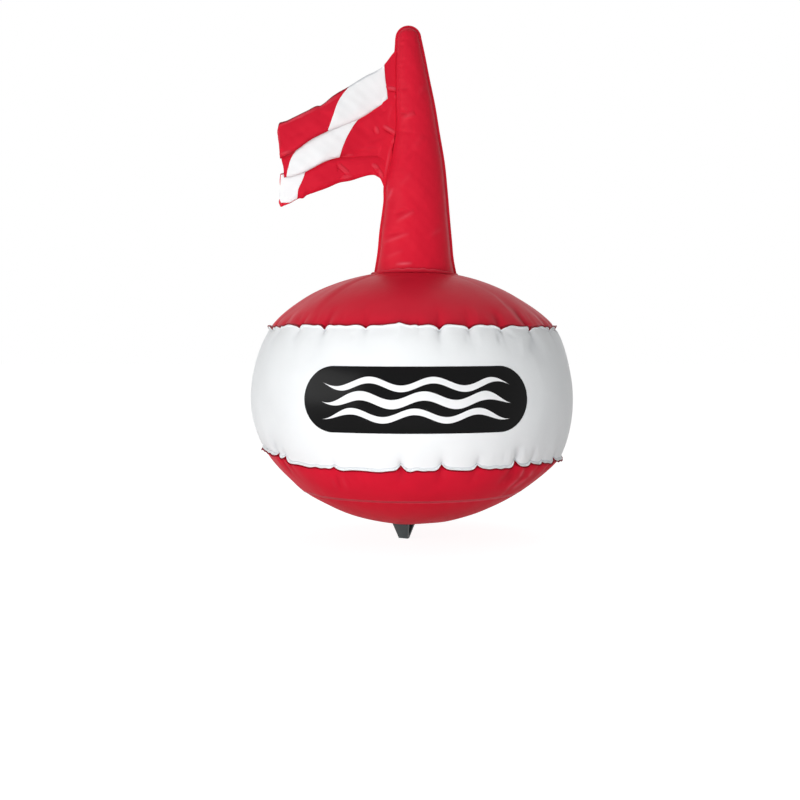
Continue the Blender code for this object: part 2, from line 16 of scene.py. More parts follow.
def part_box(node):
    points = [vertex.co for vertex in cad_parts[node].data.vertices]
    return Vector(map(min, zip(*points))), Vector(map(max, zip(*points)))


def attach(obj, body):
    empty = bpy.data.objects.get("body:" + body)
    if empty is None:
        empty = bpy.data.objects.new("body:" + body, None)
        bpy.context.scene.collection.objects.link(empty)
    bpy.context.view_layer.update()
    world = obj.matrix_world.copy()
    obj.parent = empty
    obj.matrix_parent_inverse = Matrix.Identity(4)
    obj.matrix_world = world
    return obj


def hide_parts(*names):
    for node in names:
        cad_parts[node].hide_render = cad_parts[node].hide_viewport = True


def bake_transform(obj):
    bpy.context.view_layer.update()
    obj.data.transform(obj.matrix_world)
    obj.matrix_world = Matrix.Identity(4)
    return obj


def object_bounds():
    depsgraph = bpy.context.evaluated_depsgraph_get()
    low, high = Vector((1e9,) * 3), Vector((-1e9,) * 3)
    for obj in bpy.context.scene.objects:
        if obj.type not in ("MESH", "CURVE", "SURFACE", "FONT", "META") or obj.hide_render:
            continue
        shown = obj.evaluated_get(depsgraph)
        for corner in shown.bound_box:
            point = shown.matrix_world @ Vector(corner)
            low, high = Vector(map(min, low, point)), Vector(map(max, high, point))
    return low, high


# The photograph's camera is level, and its picture is shifted down
PHOTO_SIDE = 800
PHOTO_FOCUS = 1430
EYE_LEVEL_ROW = 322
CAMERA_PLACE = Vector((-0.0041, -1.4747, 0.2102))
SENSOR_WIDTH = 36

# Film and grids
FILM = 0.0006
GAP = 0.0003
MERGE = 0.000001
HULL_COLUMNS = 720
FINE_ROW = 0.0007
COARSE_ROW = 0.0045
ROW_GROWTH = 0.14
FINE_ZONE = 0.006
CORNER_REACH = 0.0014
DENSE_STEP = 0.0002
OUTLINE_POINTS = 60
LOWER_POINTS = 40
FAR = 9
SIDES = (("front", -1), ("back", 1))

# Hull, measured from the height of its widest ring
RING_HEIGHT = 0.1329
HULL_RADIUS = 0.165
BELT_CURVE_HEIGHT = 0.157
UPPER_SEAM_HEIGHT = 0.0742
LOWER_SEAM_DEPTH = 0.0612
SEAM_FIN = 0.003
UPPER_FIN_TILT = math.radians(17)
LOWER_FIN_TILT = math.radians(-28)
RED_FIN_STEP = 0.0011
# Painted shade: a dark line along a red fin's edge, full up to the first distance past the weld and gone by
# the second
DARK_LINE = (0.0012, 0.0028)
DOME_HEIGHT = 0.13
MAST_PORT_RADIUS = 0.024
RING_SEAM_RADIUS = 0.1114
RING_SEAM_DEPTH = 0.0946
BOTTOM_DEPTH = 0.1292
LOWER_DOME_CROWN = 0.0016
DISC_LAP = 0.006
DISC_LAP_SHARE = 0.06
DISC_ROWS = 72
DISC_COLUMNS = 360
BOWL_POWER = 2.15
DISC_BULGE = 0.0007
DISC_BULGE_START = 0.0015
DISC_BULGE_REACH = 0.016
# Painted highlight: a pale line along the ring seam, on the disc and at the lower dome's edge, stronger on
# the right
RING_LINE = 0.0009
RING_SHINE = 0.3
RING_RIGHT_SHINE = 0.5
RING_RIGHT = (-0.2, 0.6)
DISC_RIPPLE = 0.0003
PLEAT_HEIGHT = 0.0004
PLEAT_REACH = 0.06
# Painted shade in the disc's pleats
PLEAT_SHADE = 0.3

# How far each seam runs above its own height, in mm, at angles in degrees from the front
UPPER_LINE = (
    (-180, -1.2), (-120, -1.6), (-90, -2.4), (-62.8, -1.9), (-57, -0.9), (-37, -0.4), (-23, -0.6),
    (-10, -0.1), (13, -0.2), (26, -0.8), (42, -1.6), (62, -2.4), (90, -2.6), (120, -1.6), (180, -1.2),
)
LOWER_LINE = (
    (-180, 1), (-130, 2), (-95, 8), (-71, 11.6), (-60.5, 8), (-53, 5.4), (-46, 3.2), (-37, 2.2),
    (-30, 1.7), (-10, 1.3), (2, 1.9), (13, 2.1), (26, 1.9), (42, 2.2), (51, 2), (66, 1.4),
    (90, 1.2), (130, 1), (180, 1),
)

# Puckers of the welded rings: degrees from the front, strength, and how far the valley runs
UPPER_PUCKERS = (
    (-62.6, 0.45, 0.03), (-48.3, 0.55, 0.022), (-35.2, 0.95, 0.024), (-17.7, 0.7, 0.018),
    (-5.1, -0.4, 0.006), (1.9, 0.3, 0.012), (9.6, 0.95, 0.016), (21, 0.7, 0.02), (34.9, 0.75, 0.022),
    (50.8, 1, 0.042), (68.4, 0.75, 0.036),
)
LOWER_PUCKERS = (
    (-59, 0.95, 0.026), (-53.7, 0.7, 0.02), (-29.2, 0.45, 0.016), (-4.4, 0.95, 0.018),
    (9.9, 0.95, 0.02), (23.1, 0.7, 0.026), (39.6, 1, 0.04), (47.8, 0.45, 0.03),
    (55.3, 0.5, 0.034),
)
# Puckers at the back: degrees after the last one, between two and before the first, and their range
PUCKER_START = (9, 16)
PUCKER_STEP = (8, 21)
PUCKER_CLEAR = 7
PUCKER_STRENGTH = (0.35, 1)
PUCKER_REACH = (0.014, 0.036)
NOTCH_WIDTH = 0.0032
NOTCH_POWER = 1.3
NOTCH_REACH = 0.005
NOTCH_DEPTH = 0.0022
NOTCH_DROP = 0.0046
NOTCH_SHRINK = 0.35
NOTCH_CAP = 1.1
# Painted shade: how much the notches, valleys and crease hollows of the hull's films are darkened
FOLD_SHADE = 0.6
HOLLOW_SHADE = 0.4
VALLEY_WIDTH = 0.005
VALLEY_SPREAD = 0.32
VALLEY_DEPTH = 0.0014
VALLEY_START = 0.004
SWELL = 0.0005
SWELL_REACH = 0.012
SWELL_WIDTH = 0.009
LINE_REACH = 0.03
# Uneven ripples: each one's pace, and the (size, pace) of the swings that push it to and fro
EDGE_PACES = ((31, (2, 7)), (53, (3, 11)))
DISC_PACES = (46, (1.7, 5), (0.8, 13))
MAST_PACES = (760, (2, 90))
MAST_PACE = 1130
COLLAR_PACES = ((0.1, 17, (1.3, 4)), (0.06, 31))
EDGE_WOBBLE = 0.00035
EDGE_CALM = (0.0005, 0.004)
# Painted shade: width of the dark line along each weld
GROOVE_WIDTH = 0.0009
SOFT_RIPPLE = 0.0004
SOFT_LEAN = 0.7
LABEL_CLEAR = math.radians(44)
LABEL_FADE = 0.1
LABEL_CALM = 0.85
CALM_AT_LABEL = (0.016, 0.034)
CALM_ELSEWHERE = (0.034, 0.062)

# Creases, read in the photograph: the two ends as (column, row), half width in pixels, height in mm
# Painted highlight on crease ridges, full for creases no wider than this; FLAG_CREASE_GLOW scales it on the
# flag
CREASE_SHINE_WIDTH = 1.1
MAST_CREASE_GAIN = 2.6
FLAG_CREASE_GLOW = 0.6
FRONT_MARGIN = 0.0011
HULL_CREASES = (
    (524, 468, 519, 478, 1.1, 0.65), (519, 478, 506, 489, 1.1, 0.5), (533, 469, 528, 477, 1.1, 0.65),
    (528, 477, 511, 490, 1.1, 0.6), (546, 469, 537, 477, 1.3, 0.55), (537, 477, 524, 486, 1.3, 0.4),
    (503, 473, 494, 487, 2.2, 0.35), (529, 470, 515, 486, 1.7, -0.5), (540, 469, 528, 482, 1.9, -0.5),
    (516, 470, 505, 485, 2.4, -0.4), (335, 473, 342, 491, 1.8, -0.6), (331, 475, 337, 489, 2, 0.35),
    (341, 474, 348, 491, 1.6, 0.35), (346, 475, 351, 486, 1.5, -0.35), (355, 474, 360, 484, 1.7, -0.3),
    (363, 473, 367, 488, 1.5, -0.25), (443, 469, 446, 480, 2.2, 0.35), (478, 470, 474, 482, 2, 0.3),
    (401, 470, 404, 486, 2.4, 0.3), (284, 463, 292, 474, 1.6, -0.4), (274, 456, 284, 470, 1.5, 0.35),
    (500, 326, 493, 310, 3, -0.6), (517, 323, 507, 306, 2, 0.4), (524, 325, 512, 306, 1.8, -0.5),
    (529, 325, 518, 309, 1.4, 0.45), (536, 325, 524, 309, 1.5, -0.45), (543, 325, 530, 311, 1.4, 0.4),
    (549, 327, 537, 314, 1.4, -0.35), (296, 324, 303, 311, 2.2, -0.55), (289, 324, 298, 311, 1.6, 0.35),
    (313, 325, 321, 309, 2, -0.4), (323, 324, 331, 308, 2, 0.3), (340, 324, 346, 311, 2.4, -0.35),
    (286, 325, 292, 316, 1.4, -0.4), (363, 324, 367, 310, 2.2, -0.3), (440, 322, 437, 306, 2.4, -0.3),
    (470, 322, 465, 306, 2.2, -0.3), (480, 322, 474, 304, 2.6, 0.3),
    (498, 332, 500, 344, 2, -0.8), (505, 331, 518, 339, 2.6, -0.45), (466, 331, 467, 344, 2.6, -0.4),
    (438, 332, 440, 343, 2.6, -0.4), (531, 335, 532, 357, 3.6, -0.8), (547, 332, 553, 352, 2.8, -0.5),
    (522, 334, 523, 356, 2.6, 0.4), (478, 330, 482, 345, 3, 0.3), (312, 331, 309, 344, 2.4, -0.4),
    (295, 331, 291, 344, 2.2, -0.35), (353, 331, 352, 340, 2.6, -0.3), (276, 332, 271, 346, 2, -0.4),
    (517, 447, 516, 462, 2.2, -0.6), (524, 446, 524, 460, 2, 0.55), (505, 451, 503, 464, 1.6, -0.5),
    (536, 445, 532, 462, 2.4, -0.5), (546, 449, 543, 461, 1.8, 0.4), (480, 455, 478, 465, 2.6, -0.35),
    (511, 449, 509, 463, 1.6, 0.35), (552, 448, 549, 459, 1.8, -0.4), (400, 458, 400, 466, 2.4, -0.25),
    (282, 448, 284, 458, 1.8, -0.35), (274, 440, 276, 450, 1.8, -0.4), (493, 452, 492, 464, 2.2, 0.25),
)

# Mast, read in the photograph as (row, column)
MAST_RIGHT_PX = (
    (38.6, 421.5), (50, 424), (80, 430), (104, 435), (134, 440), (164, 445), (194, 448),
    (218, 450), (240, 452), (260, 454), (273, 457),
)
MAST_WELD_PX = (
    (38.6, 397.6), (48, 397), (58, 396.2), (96, 396), (135, 395.4), (158, 391.5),
    (179, 386.6), (190, 385.7), (200, 385.8), (212, 384.4), (230, 381.9), (255, 379.4), (273, 376.2),
)
MAST_TIP_PX = (408.5, 38.6)
MAST_TIP_RADIUS = 0.0134
MAST_FIN = 0.0025
MAST_DEPTH_SHARE = 0.8
MAST_FOOT_HEIGHT = 0.1285
MAST_BODY_ROWS = 230
MAST_TIP_ROWS = 20
MAST_COLUMNS = 96
FIN_COLUMNS = 4
FOOT_FADE = 0.02
# Pinches across the mast's welds: row, reach from the weld in metres, and depth in mm
LEFT_PINCHES = ((90, 0.011, 1), (98, 0.004, 0.8), (133.5, 0.015, 1.2), (176, 0.006, 0.6))
RIGHT_PINCHES = ((72, 0.004, 0.5), (121, 0.005, 0.5), (178, 0.006, 0.6), (231, 0.008, 0.7))
PINCH_WIDTH = 0.0022
PINCH_LEAN = 0.12
# Painted shade in the pinches
PINCH_SHADE = 0.35
METRES_A_PIXEL = 0.00103
WELD_RIPPLE = 0.00022
WELD_REACH = 0.006
MAST_RIPPLE = 0.00022
MAST_STRETCH = 1.3
# Painted shade in the mast's crease hollows, and the strength of painted highlight on its crease ridges
MAST_HOLLOW_SHADE = 0.5
MAST_SHINE = 2.5
HINGE_FADE = 0.004
# Painted shade on a fin: a dark line, given as shares of the fin's width (where it is, and how wide), and a
# darkening over the whole fin
FIN_GROOVE = 0.1
FIN_GROOVE_WIDTH = 0.12
FIN_SHADE = 0.3
# Painted highlight: a pale line beside the mast's right weld (its distance and width), stronger on the rows
# toward the foot
WELD_GLOW = 0.0016
GLOW = 0.1
FOOT_GLOW = 0.3
GLOW_ROWS = (150, 235)
WELD_GLOW_WIDTH = 0.0011
MAST_CREASES = (
    (398.6, 60, 398.9, 130, 0.8, -0.4), (401.5, 119.5, 415, 112.5, 2.2, 0.75),
    (399, 114, 407, 112.5, 2, -0.7),
    (396, 222, 415, 211, 1.9, 0.65), (393, 216, 408, 208, 2.2, -0.55), (383, 243, 410, 233, 1.7, 0.5),
    (383, 237, 404, 230, 2.2, -0.45), (388, 201, 393, 187, 1.4, 0.35), (400, 186, 412, 172, 2.6, 0.35),
    (412, 150, 424, 134, 3, 0.3), (405, 160, 416, 148, 3, -0.35), (418, 96, 426, 84, 2.6, 0.3),
    (402, 92, 410, 84, 2.6, -0.3), (385, 258, 404, 250, 2, 0.35), (430, 236, 442, 228, 2, 0.3),
    (395, 264, 413, 263, 1.3, 0.5),
)

# Weld ring round the mast's foot
COLLAR_WIDTH = 0.0011
COLLAR_HEIGHT = 0.0012
COLLAR_LEFT_WIDTH = 0.5
COLLAR_LEFT_SPREAD = 1.6
COLLAR_LEFT_RISE = 0.0009
COLLAR_FRONT_SPREAD = 2.2
COLLAR_FRONT_RISE = 2.2
COLLAR_FRONT_WIDTH = 0.9
COLLAR_COLUMNS = 160
COLLAR_ROWS = 14
COLLAR_PROFILE = ((0, 0), (0.12, 0.75), (0.35, 1), (0.7, 0.62), (1, 0.06))
# Painted highlight along the collar's ridge, stronger in front, and painted shade toward its outer edge
COLLAR_RIDGE = 0.3
COLLAR_RIDGE_WIDTH = 0.25
COLLAR_SHINE = 0.25
COLLAR_FRONT_SHINE = 0.6
COLLAR_SHADE = 0.5
COLLAR_SHADE_SHARE = (0.6, 1)

# Flag, read in the photograph as (column, row)
FLAG_TOP_PX = (
    (278.1, 127.6), (279.3, 124.2), (282.5, 122.2), (286, 121.3), (295, 117), (308, 110.6),
    (317.5, 106), (320.5, 105.9), (323.5, 104.1), (332.9, 96.3),
    (349.5, 86.3), (365.2, 76.4), (384.3, 64.8), (388, 60.2), (391, 56), (396, 50),
)
FIRST_CREASE_PX = (
    (280.6, 158), (294.7, 150.5), (311.3, 138.6), (327.6, 130.8), (343, 124.6), (359.4, 117.8),
    (364, 115.2), (371, 110.6), (378, 106), (383.9, 101.8), (388, 97), (396, 93),
)
SECOND_CREASE_PX = (
    (280.6, 177.5), (294.7, 175), (307.2, 170), (313, 166.8), (326.2, 160.1), (339.5, 156.3),
    (352.8, 155.1), (366, 154.3), (392, 154),
)
FLAG_BOTTOM_PX = (
    (278.8, 205.2), (280.6, 206.7), (284, 205.6), (289.8, 203.3), (297.2, 199.2), (299, 198.5),
    (303.6, 198), (306, 195.7), (309, 194.3), (313, 193), (326.2, 188.3), (341, 182.3),
    (349.5, 181), (362.7, 176.9), (370, 175.2), (376, 175.6), (381, 180), (383.4, 185.8), (386, 191),
)
FLY_PX = (
    ((0, 279.2), (0.06, 278.1), (0.3, 278.3), (0.7, 279.2), (1, 279.9)),
    ((0, 280.8), (0.25, 281.8), (0.5, 283.2), (1, 284)),
    ((0, 280.4), (0.2, 279.7), (0.45, 280.6), (0.75, 279.5), (0.93, 279.1), (1, 280.4)),
)
# On the lowest strip the white film stops short of the edge near the fly: share of the strip's height
HEM_PX = ((280.5, 289.5), (0.85, 0.985))
HOIST_ROWS_PX = (50, 93, 154, 190)
HINGE_PX = ((393.6, 58.6), (383.4, 177.8))
FLAG_COLUMNS = 236
STRIP_ROWS = 48
TUCK_ROWS = 9
TUCK_PX = 3.2
TUCK_BACK = 0.3
TUCK_DRIFT = 0.12
TUCK_SWELL = 0.35
FOLD_DEPTH = 0.0085
FOLD_POWER = 1.7
FIRST_FOLD = (0.08, 0.7)
SECOND_FOLD = (0.26, 0.68)
FLAG_PUFF = 0.002
OVER_FIN = 0.00105
# How flat a film's crown is on top, and how much fuller the lowest strip is
CROWN_POWER = 4
LOW_STRIP_PUFF = 0.7
# Dents: pixel column and row, radius and depth
FLAG_DENTS = (
    (342, 171, 0.007, 0.0014), (366, 90, 0.009, 0.0008), (330, 146, 0.01, 0.0009),
    (372, 132, 0.012, 0.001),
)
FLAG_CREASES = (
    (386, 87.4, 399, 89.8, 0.9, 0.8), (387, 90.2, 398, 92.4, 1, -0.7), (394.5, 98.5, 398.5, 93, 0.9, 0.5),
    (383, 125.4, 396.5, 133.8, 0.9, 0.9), (382, 128, 395, 135.8, 1.1, -0.8),
    (375.6, 126, 378.8, 134, 1.1, 0.5), (372.5, 128, 376, 135, 1.3, -0.35),
    (396, 137, 391.4, 144, 0.9, 0.4), (391.4, 144, 384.8, 178, 0.9, 0.4),
    (372, 164.5, 379, 169, 1.1, 0.55), (379, 169, 383.4, 179, 1, 0.55),
    (373, 169, 380.5, 176.5, 1.5, -0.45), (335, 164, 348, 177, 1, -0.9),
    (337.5, 163, 350.5, 175.5, 0.9, 0.45), (341, 178.6, 352, 176.6, 0.9, 0.4),
    (336, 166, 338, 173, 1.1, -0.5), (340, 156.6, 354, 154.4, 1, 0.4), (283, 157, 296, 151.6, 1.1, 0.4),
    (276, 127.6, 320, 108.4, 0.9, 0.75), (318, 110.4, 341, 95.2, 0.9, 0.45), (318, 109, 333, 113, 3, 0.35),
    (278.2, 126, 279.6, 154, 0.9, 0.6), (279.6, 154.6, 292, 150.8, 1, 0.6),
    (362, 146, 388, 136, 2.6, -0.45), (358, 150, 386, 147, 2.4, 0.35), (364, 128, 376, 113, 3, 0.3),
    (379, 116, 391, 107, 2.2, -0.4), (388, 122, 393, 104, 1.6, 0.3), (306, 186, 322, 176, 2.6, 0.3),
    (352, 168, 370, 164, 3, 0.3), (290, 138, 306, 132, 3, -0.35), (300, 128, 318, 120, 3.2, 0.3),
)
FLAG_CREASE_GAIN = 1.5
FLAG_RIPPLE = 0.00028
# Ranges that painted shade and lifts ease over, as shares down a strip (DOWN) or across the flag (ACROSS)
LOOSE_ACROSS = (0.05, 0.3)
# Painted shade under each strip's lip, along the flag's top edge and in crease hollows
LIP_DOWN = (0.86, 1)
LIP_ACROSS = (0.2, 0.6)
LIP_SHADE = 0.4
TOP_DOWN = (0.02, 0.085)
TOP_ACROSS = (0.1, 0.2)
FLAG_HOLLOW_SHADE = 0.5
OVER_ACROSS = (0.1, 0.16)
JUMP_SHARE = (0.45, 0.8)
# Edges of the white stripe on each of the flag's three strips: (share down the strip, column)
STRIPE_LEFT_PX = (
    ((0, 349.5), (0.19, 341.2), (0.66, 332.9), (1, 327.6)),
    ((0, 302), (0.26, 293.1), (0.69, 288.1), (1, 286.4)),
    ((0, 281.2), (0.4, 280.2), (0.9, 279.8), (1, 281.2)),
)
STRIPE_RIGHT_PX = (
    ((0, 384.3), (0.38, 385.1), (0.77, 386.8), (1, 387.6)),
    ((0, 361.5), (0.1, 356.1), (0.33, 349.5), (0.64, 343.6), (1, 339.5)),
    ((0, 307.2), (0.3, 303.8), (0.56, 299.7), (1, 297.2)),
)
STRIPE_FILM = 0.0003
STRIPE_LIFT = 0.00005
STRIPE_COLUMNS = 80

# Label on the belt
LABEL_WIDTH = 0.227
LABEL_HEIGHT = 0.0618
LABEL_RISE = 0.0055
LABEL_TURN = math.radians(1.2)
LABEL_FILM = 0.0003
LABEL_LIFT = GAP * 0.6
LABEL_COLUMNS = 200
LABEL_ROWS = 48
# White waves printed on the label: rise, lean and half width of each
WAVE_BANDS = ((0.0145, 0, 0.003), (0, 0.9, 0.0042), (-0.0145, 1.8, 0.003))
WAVE_LENGTH = 0.06
WAVE_HEIGHT = 0.004
WAVE_TAPER = (0.062, 0.096)
WAVE_EDGE = 0.00012

# Tow lug and its slot in the bottom disc
LUG_TURN = math.radians(-30)
LUG_BASE_WIDTH = 0.0185
LUG_BASE_DEPTH = 0.017
LUG_SOFT_EDGE = 0.0003
LUG_MERGE = 0.00001
LUG_FLAT = math.radians(2)

# Inflation valve, in its own frame
VALVE_INSET = 0.0404
VALVE_CALM = 0.013
PORT_DEPTH = 0.01
PORT_SNAP = 0.003
VALVE_FLANGE_RADIUS = 0.015
VALVE_FLANGE = 0.0012
STEM_RADIUS = 0.0065
STEM_BORE = 0.0042
STEM_HEIGHT = 0.014
STEM_COLLAR_RADIUS = 0.0085
STEM_COLLAR = 0.0015
STRAP_RING_RADIUS = 0.0086
STRAP_RING_HEIGHT = 0.0022
STRAP_REACH = 0.0105
STRAP_WIDTH = 0.005
STRAP_TAB = 0.0012
PLUG_HEAD_RADIUS = 0.0068
PLUG_HEAD = 0.0016
PLUG_TOP_RADIUS = 0.0039
PLUG_TIP_RADIUS = 0.0024
PLUG_LENGTH = 0.0055
FLAP_RADIUS = 0.0052
FLAP = 0.0006
VALVE_SIDES = 96
VALVE_SOFT_EDGE = 0.00025
PLUG_SOFT_EDGE = 0.0006
FLAP_SOFT_EDGE = 0.00012
SHARP_ANGLE = math.radians(32)

# Soft noise in the finishes: patches in a metre, finer layers, and how strong those are
CLOUDS = (24, 4, 0.55)
GRAIN = (1400, 2, 0.6)
RUBS = (90, 5, 0.7)
RUBBED_PATCHES = (7, 2, 0.5)
DIMPLES = (160, 3, 0.5)
SWELLS = (34, 2, 0.4)
SMUDGES = (60, 4, 0.6)
PRINT_GRAIN = (420, 2, 0.5)
LUG_GRAIN = (2600, 2, 0.6)
LUG_WEAR = (240, 4, 0.65)
SOFT_CLOUDS = (320, 3, 0.6)
SOFT_GRAIN = (2400, 2, 0.5)
FLOOR_CLOUDS = (3, 2, 0.5)

# Colours, as linear light
RED = (0.66, 0.012, 0.034, 1)
# DEEP_RED gives a random deeper tone and also the painted shade in folds, notches and grooves; PALE_RED gives
# rubbed patches and also the painted highlights on ridges and seams
DEEP_RED = (0.17, 0.003, 0.009, 1)
PALE_RED = (0.86, 0.22, 0.28, 1)
WHITE = (0.82, 0.84, 0.85, 1)
# A lighter copy of the white film for the flag's stripes: painted light, so they show brighter than the belt
LIT_WHITE = (0.92, 0.93, 0.94, 1)
SHADED_WHITE = (0.42, 0.44, 0.48, 1)
BLACK = (0.002, 0.002, 0.0022, 1)
PRINT_WHITE = (0.8, 0.81, 0.82, 1)
LUG_DARK = (0.02, 0.03, 0.031, 1)
LUG_WORN = (0.05, 0.066, 0.068, 1)
SOFT_GREY = (0.6, 0.62, 0.62, 1)
SOFT_CLOUD = (0.78, 0.8, 0.8, 1)
FLOOR_WHITE = (0.95, 0.95, 0.95, 1)
FLOOR_CLOUD = (0.93, 0.93, 0.93, 1)

# Light: each lamp's place, target, power, size and glint, and how bright the sky and floor are
LAMPS = (
    ("key", (-1.75, -1.1, 0.45), (0, 0, 0.16), 12.2, (1.7, 0.8), True),
    ("front", (-0.35, -2, 0.32), (0, 0, 0.16), 9.2, (1.2, 0.7), False),
    ("uplight", (-0.05, -0.75, 0.03), (0, 0, 0.12), 1.95, (0.8, 0.06), False),
    ("top", (0, 0.3, 1.9), (0, 0, 0.2), 3, (1.6, 1.6), True),
)
SKY_LIGHT = 0.32
SKY_SEEN = 1
FLOOR_SEEN = 1.5
FLOOR_SHARE = 0.6
FLOOR_REACH = 6
FLOOR_DROP = 0.0002


# Reading curves and places


def through(points, where):
    """A smooth curve through a table of (place, value) pairs, read at one or many places."""
    places, values = np.array(points, float).T
    slopes = np.gradient(values, places)
    spots = np.clip(where, places[0], places[-1])
    low = np.clip(np.searchsorted(places, spots, side="right") - 1, 0, len(places) - 2)
    width = places[low + 1] - places[low]
    t = (spots - places[low]) / width
    start, end = values[low], values[low + 1]
    rise = slopes[low] * t * (1 - t) ** 2 - slopes[low + 1] * t**2 * (1 - t)
    return start * (1 + 2 * t) * (1 - t) ** 2 + end * t**2 * (3 - 2 * t) + rise * width


def eased(where, start, end):
    """0 before start, 1 after end, and a smooth rise between them."""
    t = np.clip((where - start) / (end - start), 0, 1)
    return t * t * (3 - 2 * t)


def bell(offset, width):
    """1 at no offset, and a smooth fall on either side."""
    return np.exp(-((offset / width) ** 2))


def uneven(where, pace, *swings):
    """A ripple at a pace, whose crests are pushed to and fro by (size, pace) swings."""
    return np.sin(where * pace + sum(size * np.sin(where * slow) for size, slow in swings))


def wrapped(angle):
    """The same angle between minus and plus a half turn."""
    return (angle + math.pi) % math.tau - math.pi


def seen(column, row, depth=0.0):
    """The point of the upright plane at a depth that shows at a pixel of the photograph."""
    scale = (depth - CAMERA_PLACE.y) / PHOTO_FOCUS
    x = CAMERA_PLACE.x + (column - PHOTO_SIDE / 2) * scale
    z = CAMERA_PLACE.z - (row - EYE_LEVEL_ROW) * scale
    return x, z


def pixel_of(x, y, z):
    """The photograph's column and row of points."""
    scale = PHOTO_FOCUS / (y - CAMERA_PLACE.y)
    return PHOTO_SIDE / 2 + (x - CAMERA_PLACE.x) * scale, EYE_LEVEL_ROW - (z - CAMERA_PLACE.z) * scale


def creased(table, x, y, z):
    """How far creases lift the front of a film at points, how hollow they are, and how much painted highlight
    their ridges get.
    """
    column, row = pixel_of(x, y, z)
    lift = hollow = shine = 0
    for start_x, start_y, end_x, end_y, width, height in table:
        run, fall = end_x - start_x, end_y - start_y
        length = math.hypot(run, fall)
        along = ((column - start_x) * run + (row - start_y) * fall) / length
        off = ((column - start_x) * fall - (row - start_y) * run) / length
        taper = np.clip(1 - (2 * along / length - 1) ** 2, 0, 1)
        share = taper * bell(off, width) * (y < AXIS.y + FRONT_MARGIN)
        lift = lift + height / 1000 * share
        hollow = hollow + max(-height, 0) * share
        shine = shine + max(height, 0) * share * min(1, CREASE_SHINE_WIDTH / width) ** 3
    return lift, np.clip(hollow, 0, 1), np.clip(shine, 0, 1)


def row_of(height):
    """The photograph's row of a height over the floor, in the plane of the hull's axis."""
    return EYE_LEVEL_ROW - (height - CAMERA_PLACE.z) * PHOTO_FOCUS / -CAMERA_PLACE.y


def waves(seed, count, shortest, longest):
    """Ways and phases of soft ripples with wavelengths in a range, in metres."""
    chance = random.Random(seed)
    found = []
    for _ in range(count):
        turn = chance.uniform(0, math.tau)
        pitch = math.tau / chance.uniform(shortest, longest)
        found.append((pitch * math.cos(turn), pitch * math.sin(turn), chance.uniform(0, math.tau)))
    return found


def rippled(table, x, y):
    return sum(np.sin(a * x + b * y + c) for a, b, c in table) / math.sqrt(len(table))


# Building meshes


def film_grid(name, columns, rows, place, inside, lift=None, layers=("fold", "shine")):
    """A skin of quads. place gives its points and a value for each layer from two shares."""
    bm = bmesh.new()
    bmesh.ops.create_grid(bm, x_segments=columns, y_segments=rows, size=1)
    flat = np.array([vert.co.to_tuple() for vert in bm.verts], float)
    across, down = (flat[:, 0] + 1) / 2, (flat[:, 1] + 1) / 2
    points, *values = place(across, down)
    stores = [bm.verts.layers.float.new(layer) for layer in layers]
    for index, vert in enumerate(bm.verts):
        vert.co = points[index]
        for store, value in zip(stores, values):
            vert[store] = value[index]
    bm.normal_update()
    outward = [(face.calc_center_median() - inside).dot(face.normal) * face.calc_area() for face in bm.faces]
    if sum(outward) < 0:
        bmesh.ops.reverse_faces(bm, faces=bm.faces)
    if lift is not None:
        bm.normal_update()
        steps = [vert.normal * float(step) for vert, step in zip(bm.verts, lift(across, down))]
        for vert, step in zip(bm.verts, steps):
            vert.co += step
    bmesh.ops.remove_doubles(bm, verts=bm.verts, dist=MERGE)
    bmesh.ops.dissolve_degenerate(bm, edges=bm.edges, dist=MERGE)
    return finished(name, bm)


def finished(name, bm):
    mesh = bpy.data.meshes.new(name)
    bm.to_mesh(mesh)
    bm.free()
    mesh.shade_smooth()
    thing = bpy.data.objects.new(name, mesh)
    bpy.context.scene.collection.objects.link(thing)
    return thing


def ported(thing, frame, radius):
    """Open a round port in a skin, for a tube that stands on the given axes."""
    bm = bmesh.new()
    bm.from_mesh(thing.data)
    into = frame.inverted()

    def near(vert, reach):
        spot = into @ vert.co
        return spot.xy.length < reach and abs(spot.z) < PORT_DEPTH

    bmesh.ops.delete(bm, geom=[vert for vert in bm.verts if near(vert, radius)], context="VERTS")
    rim = {vert for edge in bm.edges if edge.is_boundary for vert in edge.verts}
    for vert in rim:
        if near(vert, radius + PORT_SNAP):
            spot = into @ vert.co
            spot.xy = spot.xy.normalized() * radius
            vert.co = frame @ spot
    bm.to_mesh(thing.data)
    bm.free()
    thing.data.shade_smooth()
    return thing


def walled(thing, thickness=FILM):
    """Give a skin its film's thickness, on the inside."""
    wall = thing.modifiers.new("wall", "SOLIDIFY")
    wall.thickness = thickness
    wall.offset = -1
    wall.use_rim = True
    return thing


def dress(thing, body, slot, paint, *nodes):
    """Put a piece on its body with its finish, in place of the model's plain nodes."""
    thing.data.materials.clear()
    thing.data.materials.append(paint)
    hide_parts(*nodes)
    if body:
        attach(thing, body)
    return thing


def turned(outline, frame, closed=True, soft=VALVE_SOFT_EDGE):
    """Spin an outline of (radius, height) points about a frame's Z, with softened edges."""
    bm = bmesh.new()
    verts = [bm.verts.new((radius, 0, height)) for radius, height in outline]
    edges = [bm.edges.new(pair) for pair in zip(verts, verts[1:])]
    if closed:
        edges.append(bm.edges.new((verts[-1], verts[0])))
    bmesh.ops.spin(
        bm, geom=verts + edges, axis=(0, 0, 1), cent=(0, 0, 0),
        steps=VALVE_SIDES, angle=math.tau, use_merge=True,
    )
    bmesh.ops.remove_doubles(bm, verts=bm.verts, dist=MERGE)
    bmesh.ops.recalc_face_normals(bm, faces=bm.faces)
    soften(bm, soft)
    bmesh.ops.transform(bm, matrix=frame, verts=bm.verts)
    return bm


